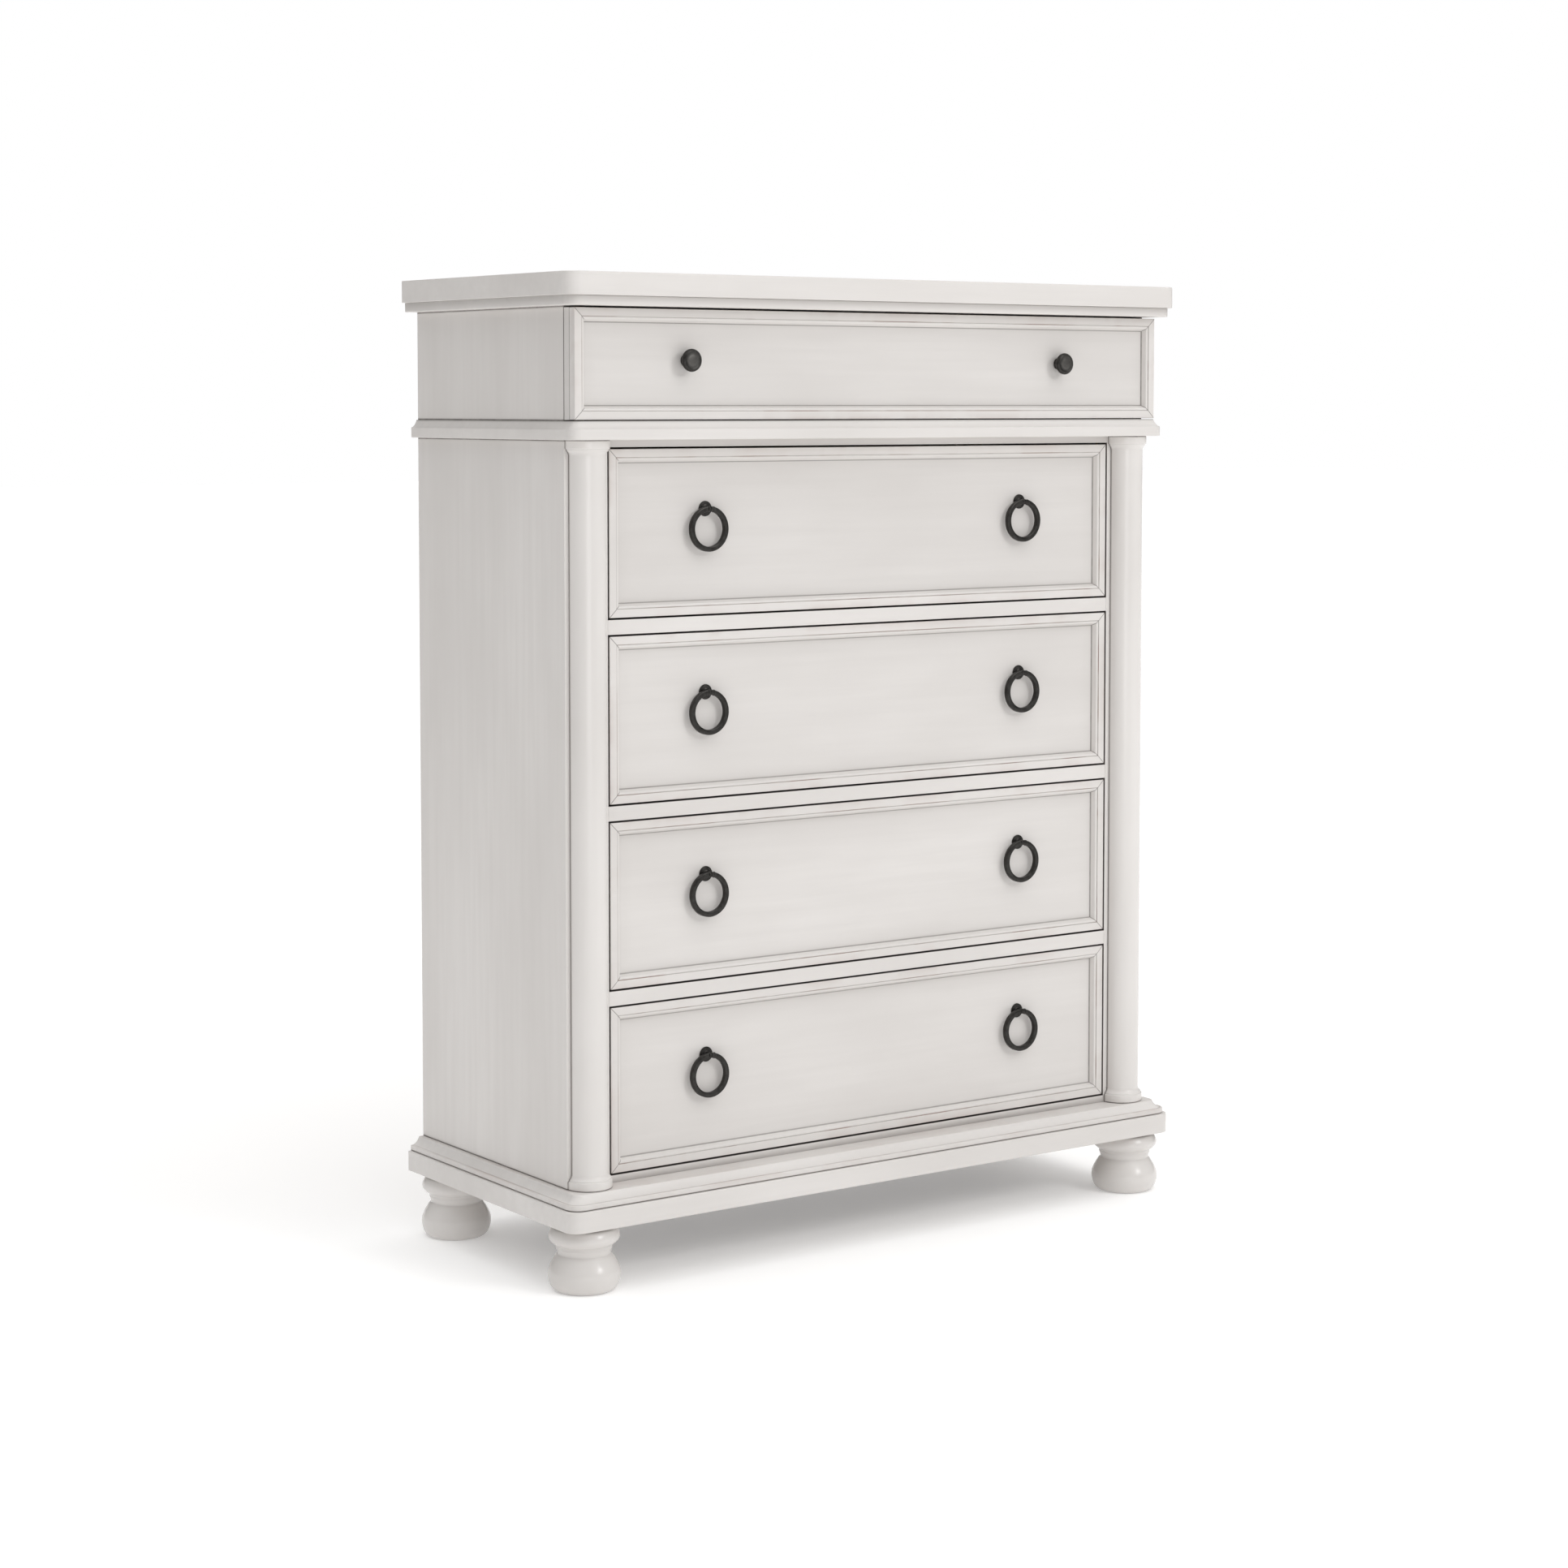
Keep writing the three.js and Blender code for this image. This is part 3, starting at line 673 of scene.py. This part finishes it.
# ---- Case boards ----
def gridded_board(low, high, axis, stops, glaze_and_shade_at, radius=EDGE_R):
    """A board with rounded edges and cross cuts along an axis, so that glaze and painted shade can end
    sharply.
    """
    shape = soft_box(low, high, radius)
    work = bmesh.new()
    verts = [work.verts.new(point) for point in shape.points]
    for face in shape.faces:
        work.faces.new([verts[i] for i in face])
    normal = Vector([1.0 if i == axis else 0.0 for i in range(3)])
    for stop in stops:
        geometry = work.verts[:] + work.edges[:] + work.faces[:]
        bmesh.ops.bisect_plane(work, geom=geometry, plane_co=normal * stop, plane_no=normal)
    cut = Shape()
    work.verts.index_update()
    cut.row([vertex.co.copy() for vertex in work.verts])
    cut.faces = [tuple(vertex.index for vertex in face.verts) for face in work.faces]
    work.free()
    return shade(cut, glaze_and_shade_at)


def seam_glaze_and_shade(distance, width=1.7, fade=3.8, shade_band=0.16):
    """Glaze beside a joint: dark within width, then a faint band of painted shade."""
    if distance < width:
        return 0.88
    if distance < fade:
        return shade_band * (fade - distance) / (fade - width) + 0.02
    return 0.0


def side_panels():
    """Plain panels with glaze and painted shade beside the mouldings."""
    # Heights of the joints with the mouldings, and the way from each joint onto the open panel
    joints = ((CASE_BOTTOM, 1), (WAIST_BOTTOM, -1), (WAIST_TOP, 1), (TOP_MOULDING_BOTTOM, -1))
    # The board is cut across beside each joint, where its glaze and painted shade change
    stops = []
    for z, way in joints:
        stops += [z + way * offset for offset in (1.5, 2.1, 4.2, 14.0)]

    def glaze_and_shade_at(point):
        glaze_and_shade = 0.0
        for z, way in joints:
            distance = (point.z - z) * way
            if -0.01 <= distance:
                glaze_and_shade = max(glaze_and_shade, seam_glaze_and_shade(distance))
        # The front edge above the waist lies behind the top drawer, in the gap beside it, and is painted
        # dark as shade
        if point.y < FRONT + 0.5 and point.z > WAIST_TOP + 1.0:
            glaze_and_shade = 0.95
        return glaze_and_shade, 0.0

    for x_name, _ in SIDES:
        name = f"side_panel_{x_name}"
        low, high = span(name)
        shape = gridded_board(low, high, Z, stops, glaze_and_shade_at, 1.0)
        piece(f"{name}_board", shape, paint_z, "case", (name,))


def face_frame():
    """Stiles and rails; what faces a drawer opening is painted dark, as shade in the gaps."""
    for x_name, side in SIDES:
        name = f"stile_{x_name}"
        low, high = span(name)
        opening = side * OPENING_HALF

        def stile_rule(point, opening=opening):
            inside = abs(point.x - opening) < 0.05
            return (1.0 if inside and point.y > FRONT + 0.35 else 0.0), 0.0

        shape = shade(soft_box(low, high, 0.5), stile_rule)
        piece(f"{name}_board", shape, paint_z, "case", (name,))
    for name in ("upper_rail", "rail_1", "rail_2", "rail_3", "bottom_rail"):
        low, high = span(name)
        above = name != "upper_rail"
        below = name != "bottom_rail"
        # Painted shade darkens the rail that lies under the waist moulding
        face_shade = 0.0 if above else 0.17

        def rail_rule(point, low=low, high=high, above=above, below=below, face_shade=face_shade):
            upper = above and point.z > high.z - 0.05
            lower = below and point.z < low.z + 0.05
            # The bottom rail's foot gets a line of painted shade where it meets the moulding below
            foot = not below and point.z < low.z + 0.9
            if (upper or lower) and point.y > FRONT + 0.35:
                return 1.0, 0.0
            return (0.5 if foot else face_shade), 0.0

        shape = shade(soft_box(low, high, 0.5), rail_rule)
        piece(f"{name}_board", shape, paint_x, "case", (name,))
    for name in ("waist_rail", "top_rail"):
        low, high = span(name)
        piece(f"{name}_board", soft_box(low, high, 0.5), paint_x, "case", (name,))


def back_panel():
    low, high = span("back_panel")
    piece("back_panel_board", soft_box(low, high, 0.6), hardboard, "case", ("back_panel",))


def batten(n, side):
    """Corners of the batten that carries drawer n's glide on one side."""
    rise = 27.0 if n == 1 else 62.5
    z = span(f"drawer_{n}_box")[0].z + rise
    x_low, x_high = sorted((side * OPENING_HALF, side * INNER_HALF))
    return Vector((x_low, BATTEN_LOW.y, z)), Vector((x_high, BATTEN_HIGH.y, z + BATTEN_H))


def runner_frames():
    """A ladder of two posts and five battens inside each side, to carry the glides."""
    post_width = 30.0
    # The battens end just short of the posts' outer faces
    setback = Vector((0.0, 0.8, 0.0))
    for x_name, side in SIDES:
        name = f"runner_frame_{x_name}"
        low, high = span(name)
        far = side * INNER_HALF
        near = side * (INNER_HALF - post_width)
        x_low, x_high = sorted((far, near))
        ladder = Shape()
        for y_low in (low.y, high.y - post_width):
            ladder.add(soft_box((x_low, y_low, low.z), (x_high, y_low + post_width, high.z), 1.2))
        for n in DRAWERS:
            batten_low, batten_high = batten(n, side)
            ladder.add(soft_box(batten_low + setback, batten_high - setback, 1.2))
        piece(f"{name}_ladder", ladder, softwood_z, "case", (name,))


# ---- Drawers ----
def frame_section(edge, quirk):
    """Section of a mitred frame from its outer edge inwards, as (inset, depth, glaze and painted shade,
    wear and sheen).
    """
    section = list(edge)
    section += plain(arc((0.9, 0.9), (0.9, 0.9), 200, 270, 3), 0.0, 0.15)
    # The groove holds a line of glaze and painted shade, with worn paint
    groove = [
        (-0.7, 0.0, 0.0, 0.0),
        (-0.4, 0.06, 0.10, 0.6),
        (-0.1, 0.45, 0.44, 0.7),
        (0.1, 0.95, 0.55, 0.6),
        (0.5, 1.05, 0.32, 0.35),
        (0.9, 0.85, 0.0, 0.05),
    ]
    section += [(quirk + offset, depth, glaze_and_shade, wear_and_sheen) for offset, depth, glaze_and_shade, wear_and_sheen in groove]
    section += plain([(13.8, 0.86), (14.5, 1.0), (15.0, 1.35), (15.5, 2.1), (16.0, 3.2)])
    section += plain([(16.7, 4.9), (17.4, 6.4), (17.8, 7.1)])
    # Painted shade darkens the foot of the slope, where it meets the panel
    section += [(18.1, 7.6, 0.48, 0.0), (18.5, 8.2, 0.68, 0.0), (FRAME_W, PANEL_SINK, 0.66, 0.0)]
    return section


# Glaze along a frame member, from one mitre to the other
MITRE_GLAZE = (0.75, 0.6, 0.0, 0.0, 0.0, 0.6, 0.75)


def mitred_frame(half, low, high, face, section):
    """Four members with mitred ends round a panel; the mitres are drawn by a thin line of glaze."""
    middle_z = (low + high) / 2
    half_z = (high - low) / 2
    line = 0.5
    gap = 0.04
    shape = Shape()
    for turn in range(4):
        reach, other = (half, half_z) if turn % 2 == 0 else (half_z, half)
        rows = []
        for inset, depth, glaze_and_shade, wear_and_sheen in section:
            end = reach - inset
            stops = (-end + gap, -end + line, -end + 2 * line, 0.0, end - 2 * line, end - line, end - gap)
            marks = [max(glaze_and_shade, mark) for mark in MITRE_GLAZE]
            rows.append(shape.row([(s, face + depth, -(other - inset)) for s in stops], marks, wear_and_sheen))
        shape.skin(rows, loop=True)
        for end in (0, -1):
            shape.cap([row[end] for row in rows])
        count = len(rows) * len(MITRE_GLAZE)
        angle = Matrix.Rotation(math.radians(90.0 * turn), 3, "Y")
        for point in shape.points[-count:]:
            point.rotate(angle)
    shape.move((0.0, 0.0, middle_z))
    return shape


def fielded_panel(half, low, high, face, outline):
    """The board behind a frame; outline is its edge from the back forwards as (inset, y, glaze and painted
    shade).
    """
    # Painted shade fades out from the frame onto the panel
    field = [
        (FRAME_W - 1.0, face, 0.66),
        (FRAME_W + 0.2, face, 0.48),
        (FRAME_W + 0.9, face, 0.06),
        (FRAME_W + 5.0, face, 0.03),
        (FRAME_W + 22.0, face, 0.0),
    ]
    shape = Shape()
    rows = []
    for inset, y, glaze_and_shade in list(outline) + field:
        x = half - inset
        z_low, z_high = low + inset, high - inset
        rows.append(shape.row([(-x, y, z_low), (x, y, z_low), (x, y, z_high), (-x, y, z_high)], glaze_and_shade))
    shape.skin(rows, closed=True)
    shape.cap(rows[0])
    shape.cap(rows[-1])
    return shape


def prism(outline, axis, start, end):
    """An outline of (a, b) pairs in the plane across an axis, drawn out along that axis."""
    shape = Shape()

    def at(a, b, along_axis):
        if axis == X:
            return (along_axis, a, b)
        if axis == Y:
            return (a, along_axis, b)
        return (a, b, along_axis)

    first = shape.row([at(a, b, start) for a, b in outline])
    last = shape.row([at(a, b, end) for a, b in outline])
    shape.bridge(first, last, closed=True)
    shape.cap(first)
    shape.cap(last)
    return shape


def tail_outline(y_front, y_back, low, high, thick, count):
    """Side board seen from its side: dovetails at both ends."""
    slope = DOVETAIL_SLOPE
    pitch = (high - low) / count
    tail = pitch * DOVETAIL_SHARE
    front = [(y_front + thick, low)]
    for i in range(count):
        centre = low + pitch * (i + 0.5)
        front += [
            (y_front + thick, centre - tail + slope),
            (y_front, centre - tail - slope),
            (y_front, centre + tail + slope),
            (y_front + thick, centre + tail - slope),
        ]
    front.append((y_front + thick, high))
    back = [(y_front + y_back - y, z) for y, z in reversed(front)]
    return front + back


def pin_outlines(y_end, y_root, low, high, count):
    """The pins that fill the gaps between the tails."""
    slope = DOVETAIL_SLOPE
    pitch = (high - low) / count
    tail = pitch * DOVETAIL_SHARE
    found = []
    for i in range(count + 1):
        below = low + pitch * (i - 0.5)
        above = low + pitch * (i + 0.5)
        root_low = low if i == 0 else below + tail - slope
        end_low = low if i == 0 else below + tail + slope
        root_high = high if i == count else above - tail + slope
        end_high = high if i == count else above - tail - slope
        found.append([(y_root, root_low), (y_end, end_low), (y_end, end_high), (y_root, root_high)])
    return found


def drawer_box(n):
    """Dovetailed sides, ends with the pins between the tails, and a bottom."""
    name = f"drawer_{n}_box"
    low, high = span(name)
    body = f"drawer_{n}"
    thick = 12.0
    count = 2 if n == 1 else 4
    sides = Shape()
    for side in (-1, 1):
        x0, x1 = sorted((side * high.x, side * (high.x - thick)))
        outline = tail_outline(low.y, high.y, low.z, high.z, thick, count)
        sides.add(prism(outline, X, x0, x1))
    piece(f"{name}_sides", sides, drawer_wood_y, body, sharp=20, weighted=False)
    ends = Shape()
    inner = high.x - thick
    for y_end, y_root in ((low.y, low.y + thick), (high.y, high.y - thick)):
        y0, y1 = sorted((y_end, y_root))
        ends.add(prism([(-inner, y0), (inner, y0), (inner, y1), (-inner, y1)], Z, low.z, high.z))
        for outline in pin_outlines(y_end, y_root, low.z, high.z, count):
            for x0, x1 in ((-high.x, -inner), (inner, high.x)):
                ends.add(prism(outline, X, x0, x1))
    piece(f"{name}_ends", ends, drawer_wood_x, body, (name,), sharp=20, weighted=False)
    bottom = f"drawer_{n}_bottom"
    low, high = span(bottom)
    piece(f"{bottom}_panel", soft_box(low, high, 0.3, 1), plywood, body, (bottom,))


def glides(n):
    """Ball-bearing glides: a channel on the batten, and a narrower one on the drawer box."""
    box_high = span(f"drawer_{n}_box")[1]
    metal = 1.2
    for x_name, side in SIDES:
        batten_low, _ = batten(n, side)
        middle = batten_low.z + GLIDE_RISE
        front, back = BATTEN_LOW.y + 4.0, box_high.y - 8.0

        def channel(web_x, lip_x, half, y0, y1):
            inside = web_x + metal * math.copysign(1, lip_x - web_x)
            outline = [
                (web_x, middle - half),
                (lip_x, middle - half),
                (lip_x, middle - half + metal),
                (inside, middle - half + metal),
                (inside, middle + half - metal),
                (lip_x, middle + half - metal),
                (lip_x, middle + half),
                (web_x, middle + half),
            ]
            return prism([(side * x, z) for x, z in outline], Y, y0, y1)

        outer = channel(OPENING_HALF, OPENING_HALF - 9.0, 22.0, front, back)
        piece(f"glide_case_{n}_{x_name}", outer, steel, "case", sharp=20, weighted=False)
        inner = channel(box_high.x, box_high.x + 8.0, 15.0, front, back - 6.0)
        piece(f"glide_drawer_{n}_{x_name}", inner, steel, f"drawer_{n}", sharp=20, weighted=False)


def lower_front(n):
    """A front flush with the case: a sunk panel and the mitred frame before it."""
    name = f"drawer_{n}_front"
    low, high = span(name)
    body = f"drawer_{n}"
    panel_face = low.y + PANEL_SINK
    outline = [(0.0, high.y, 0.0), (0.0, panel_face + 0.6, 0.0), (0.6, panel_face, 0.0)]
    board = fielded_panel(high.x, low.z, high.z, panel_face, outline)
    piece(f"{name}_panel", board, shaded_panel_paints[n], body, (name,))
    # The frame's outer edge, seen in the gaps round the drawer, is painted dark as shade
    edge = [(0.0, PANEL_SINK, 1.0, 0.0), (0.0, 1.5, 1.0, 0.0), (0.0, 0.9, 0.25, 0.25)]
    frame_shape = mitred_frame(high.x, low.z, high.z, low.y, frame_section(edge, QUIRK))
    piece(f"drawer_{n}_moulding", frame_shape, paint_x, body, sharp=40)


def top_front():
    """A front proud of the case: a board, and the mitred frame applied to it."""
    low, high = span("drawer_1_front")
    frame_low, frame_high = span("drawer_1_frame")
    body = "drawer_1"
    panel_face = frame_low.y + PANEL_SINK
    layer = frame_high.y - frame_low.y
    # The board's back rim, in the gap to the case, and its face under the frame are darkened as painted
    # shade
    outline = [
        (0.4, high.y, 1.0),
        (0.1, high.y - 0.5, 0.9),
        (0.0, high.y - 1.0, 0.35),
        (0.0, high.y - 1.8, 0.0),
        (0.0, frame_high.y + 0.8, 0.0),
        (0.1, frame_high.y + 0.4, 0.6),
        (0.5, frame_high.y, 0.9),
        (FRAME_W - 1.2, frame_high.y, 0.6),
    ]
    board = fielded_panel(high.x, low.z, high.z, panel_face, outline)
    piece("drawer_1_front_panel", board, shaded_panel_paints[1], body, ("drawer_1_front",))
    # The frame's back edge, in the joint on the board, is darkened as painted shade
    edge = [
        (FRAME_W, layer, 0.0, 0.0),
        (0.5, layer, 0.9, 0.0),
        (0.1, layer - 0.4, 0.6, 0.0),
        (0.0, layer - 0.8, 0.0, 0.0),
        (0.0, 0.9, 0.0, 0.15),
    ]
    section = frame_section(edge, QUIRK)
    frame_shape = mitred_frame(frame_high.x, frame_low.z, frame_high.z, frame_low.y, section)
    # Painted shade darkens the flat of the upper member, under the top moulding
    flat = 10.9
    painted_shade = 0.10
    for index, point in enumerate(frame_shape.points):
        inset = frame_high.z - point.z
        if inset < flat and abs(point.x) + inset < frame_high.x + 0.1:
            frame_shape.glaze_and_shade[index] = max(frame_shape.glaze_and_shade[index], painted_shade)
    piece("drawer_1_moulding", frame_shape, paint_x, body, ("drawer_1_frame",), sharp=40)


# ---- Hardware ----
def knobs():
    """Turned knobs with a fine rim and a low dome whose middle is brighter, as hand polish and a painted
    highlight.
    """
    profile = plain([(0.0, 0.0), (7.9, 0.0), (8.2, 0.4), (8.0, 1.2), (7.0, 2.2), (6.2, 3.6), (6.0, 5.4)])
    profile += plain([(6.5, 7.4), (8.2, 9.4), (11.2, 11.4)])
    profile += plain(arc((11.4, 15.4), (4.1, 4.0), -70, 40, 12))
    profile += plain([(13.3, 18.75), (12.7, 19.1), (12.2, 19.2), (11.7, 19.0)])
    # The dome's middle carries the wear share, which paints its highlight and polish into the colour
    profile += plain(arc((0.0, 17.2), (12.0, 2.3), 50, 90, 10), wear_and_sheen=0.55)
    for x_name, _ in SIDES:
        name = f"knob_{x_name}"
        low, high = span(name)
        shape = turned(profile, 48)
        shape.turned_to_front()
        shape.move(((low.x + high.x) / 2, high.y, (low.z + high.z) / 2))
        piece(f"{name}_casting", shape, bronze, "drawer_1", (name,), weighted=False)


EYE_THICK = 3.0
EYE_R = 3.9
PIN_R = 1.5
BOSS_SEAT = 3.6
RING_RADIUS = 27.5
RING_HALF = 3.5
RING_BEVEL = 1.1


def post_shape(reach):
    """Rosette with a stepped rim and a short boss, and a thin round-headed eye standing on it."""
    profile = plain([(0.0, 0.0), (10.1, 0.0), (10.5, 0.4), (10.5, 1.0)])
    profile += plain(arc((9.7, 1.0), (0.8, 0.8), 20, 90, 4))
    profile += plain([(8.3, 1.85), (7.9, 2.0), (7.6, 2.7), (7.2, 3.0), (5.8, 3.1), (5.2, 3.4)])
    profile += plain([(4.9, 3.9), (4.2, 4.2), (0.0, 4.2)])
    shape = turned(profile, 40)
    turns = [math.radians(-90 + 12 * i) for i in range(16)]
    head = [(EYE_R * math.sin(turn), reach + EYE_R * math.cos(turn)) for turn in turns]
    outline = [(-EYE_R, BOSS_SEAT)] + head + [(EYE_R, BOSS_SEAT)]
    rows = []
    # From one face of the eye to the other, with its edges chamfered
    for x, shrink in ((-0.5, 0.4), (-0.37, 0.0), (0.37, 0.0), (0.5, 0.4)):
        points = []
        for y, z in outline:
            scale = 1.0 - shrink / EYE_R
            points.append((x * EYE_THICK, y * scale, reach + (z - reach) * (scale if z > reach else 1.0)))
        rows.append(shape.row(points))
    shape.skin(rows, closed=True)
    shape.cap(rows[0])
    shape.cap(rows[-1])
    return shape


def ring_shape():
    """A ring open for the eye of its post, with a collar on one arm and a pin across."""
    radius, half, bevel = RING_RADIUS, RING_HALF, RING_BEVEL
    # Each arm stops this far from the middle, beside the eye
    gap = 1.9
    start = math.degrees(math.asin(gap / radius))
    corner = bevel * 0.3
    quarter = [(half, 0.0), (half, half - bevel), (half - corner, half - corner), (half - bevel, half)]
    section = []
    for c, s in ((1, 0), (0, 1), (-1, 0), (0, -1)):
        section += [(a * c - b * s, a * s + b * c) for a, b in quarter]
    shape = Shape()
    rows = []
    steps = 96
    for i in range(-1, steps + 2):
        k = min(max(i, 0), steps)
        angle = math.radians(start + (360.0 - 2 * start) * k / steps)
        # The first and last rows are slimmer than the arm
        slim = 1.0 if k == i else 0.86
        points = []
        for r, y in section:
            out = radius + r * slim
            points.append((out * math.sin(angle), y * slim, out * math.cos(angle) - radius))
        # Between them and the arm, each end is chamfered over half a millimetre
        step = {0: 0.5, steps: -0.5}.get(i, 0.0)
        rows.append(shape.row([(x + step, y, z) for x, y, z in points]))
    shape.skin(rows, closed=True)
    shape.cap(rows[0])
    shape.cap(rows[-1])
    collar = turned(plain([(0.0, -1.5), (3.6, -1.5), (4.2, -0.9), (4.2, 0.9), (3.6, 1.5), (0.0, 1.5)]), 28)
    lay_across(collar, (7.6, 0.0, -1.0))
    shape.add(collar)
    pin_end = gap + 1.0
    pin = turned(plain([(0.0, -pin_end), (PIN_R, -pin_end), (PIN_R, pin_end), (0.0, pin_end)]), 20)
    lay_across(pin, (0.0, 0.0, 0.0))
    shape.add(pin)
    return shape


def lay_across(shape, place):
    """What was turned about Z now runs along X, through a place."""
    for point in shape.points:
        point.x, point.z = point.z, -point.x
    shape.move(place)


def ring_pulls():
    """A post and a hanging ring, twice on each lower drawer."""
    for n in LOWER_DRAWERS:
        for x_name, _ in SIDES:
            post, ring = f"post_{n}_{x_name}", f"ring_{n}_{x_name}"
            low, high = span(post)
            ring_low, ring_high = span(ring)
            centre_x, centre_z = (low.x + high.x) / 2, (low.z + high.z) / 2
            ring_y = (ring_low.y + ring_high.y) / 2
            rosette = post_shape(high.y - ring_y)
            rosette.turned_to_front()
            rosette.move((centre_x, high.y, centre_z))
            piece(f"{post}_casting", rosette, bronze, f"drawer_{n}", (post,), weighted=False)
            hoop = ring_shape()
            hoop.move((centre_x, ring_y, centre_z))
            piece(f"{ring}_casting", hoop, bronze, ring, (ring,), sharp=25, weighted=False)


# ---- Stage, light and camera: lengths here are in metres ----
FLOOR_GLOW = 0.23
FLOOR_HALF = 40.0
SKY_LOW = 0.02
SKY_HIGH = 2.06
SKY_LEFT = 0.72


def stage():
    """A pale paper floor, faintly lit from beneath."""
    half = FLOOR_HALF
    mesh = bpy.data.meshes.new("floor")
    corners = [(-half, -half, 0.0), (half, -half, 0.0), (half, half, 0.0), (-half, half, 0.0)]
    mesh.from_pydata(corners, [], [(0, 1, 2, 3)])
    floor = bpy.data.objects.new("floor", mesh)
    bpy.context.scene.collection.objects.link(floor)
    material, tree, shader = new_material("floor_paper")
    tone = stretched_noise(tree, (1.5, 1.5, 1.5), 2.0, 0.5, seed=1.0)
    base = blend_colour(tree, remap(tree, tone, 0.3, 0.7), (0.850, 0.845, 0.840), (0.840, 0.835, 0.830))
    tree.links.new(base, shader.inputs["Base Color"])
    shader.inputs["Roughness"].default_value = 0.9
    shader.inputs["Specular IOR Level"].default_value = 0.0
    shader.inputs["Emission Color"].default_value = (1.0, 1.0, 1.0, 1.0)
    shader.inputs["Emission Strength"].default_value = FLOOR_GLOW
    mesh.materials.append(material)


def area_light(name, place, target, width, height, power):
    """A rectangular lamp that faces a target and isn't seen itself."""
    data = bpy.data.lights.new(name, "AREA")
    data.shape = "RECTANGLE"
    data.size = width
    data.size_y = height
    data.energy = power
    lamp = bpy.data.objects.new(name, data)
    bpy.context.scene.collection.objects.link(lamp)
    lamp.location = place
    lamp.rotation_mode = "QUATERNION"
    lamp.rotation_quaternion = (Vector(target) - Vector(place)).to_track_quat("-Z", "Y")
    lamp.visible_camera = False


def sky():
    """White backdrop whose light is dim at the horizon, bright overhead and less on the left."""
    world = bpy.data.worlds.new("studio")
    bpy.context.scene.world = world
    world.use_nodes = True
    tree = world.node_tree
    background = tree.nodes["Background"]
    background.inputs["Color"].default_value = (1.0, 1.0, 1.0, 1.0)
    place = node(tree, "ShaderNodeTexCoord")
    parts = node(tree, "ShaderNodeSeparateXYZ")
    tree.links.new(place.outputs["Generated"], parts.inputs["Vector"])
    height = remap(tree, parts.outputs["Z"], 0.0, 1.0)
    bright = math_node(tree, "MULTIPLY", height, height)
    right_share = remap(tree, parts.outputs["X"], -1.0, 0.2, SKY_LEFT, 1.0)
    bright = math_node(tree, "MULTIPLY", bright, right_share)
    light = remap(tree, bright, 0.0, 1.0, SKY_LOW, SKY_HIGH)
    seen = node(tree, "ShaderNodeLightPath").outputs["Is Camera Ray"]
    tree.links.new(math_node(tree, "MAXIMUM", light, seen), background.inputs["Strength"])


def lights():
    sky()
    area_light("key", (1.9, -4.9, 3.2), (0.0, 0.0, 0.6), width=1.6, height=1.2, power=66.0)
    area_light("high_key", (1.0, -3.2, 4.6), (0.0, 0.0, 0.6), width=1.8, height=1.8, power=15.0)
    area_light("front_fill", (-2.2, -6.1, 0.55), (0.0, 0.0, 0.45), width=2.6, height=1.0, power=29.0)
    area_light("low_fill", (-1.55, 0.1, 0.22), (-0.5, 0.0, 0.25), width=1.0, height=0.35, power=0.5)
    bpy.context.scene.view_settings.view_transform = "Standard"


def camera():
    """A long lens before the chest's left front corner, tilted slightly down."""
    tilt = 3.696
    turn = 35.334
    data = bpy.data.cameras.new("camera")
    data.lens = 73.645
    data.sensor_width = 36.0
    data.shift_y = -0.11
    data.clip_end = 100.0
    eye = bpy.data.objects.new("camera", data)
    bpy.context.scene.collection.objects.link(eye)
    eye.location = (-2.7162, -3.7910, 1.1855)
    eye.rotation_euler = (math.radians(90.0 - tilt), 0.0, math.radians(-turn))
    bpy.context.scene.camera = eye


# ---- Assembly ----
camera()
lights()
stage()
top_board()
top_moulding()
waist_moulding()
base_moulding()
base_slab()
feet()
columns()
side_panels()
face_frame()
back_panel()
runner_frames()
top_front()
for number in LOWER_DRAWERS:
    lower_front(number)
for number in DRAWERS:
    drawer_box(number)
    glides(number)
knobs()
ring_pulls()
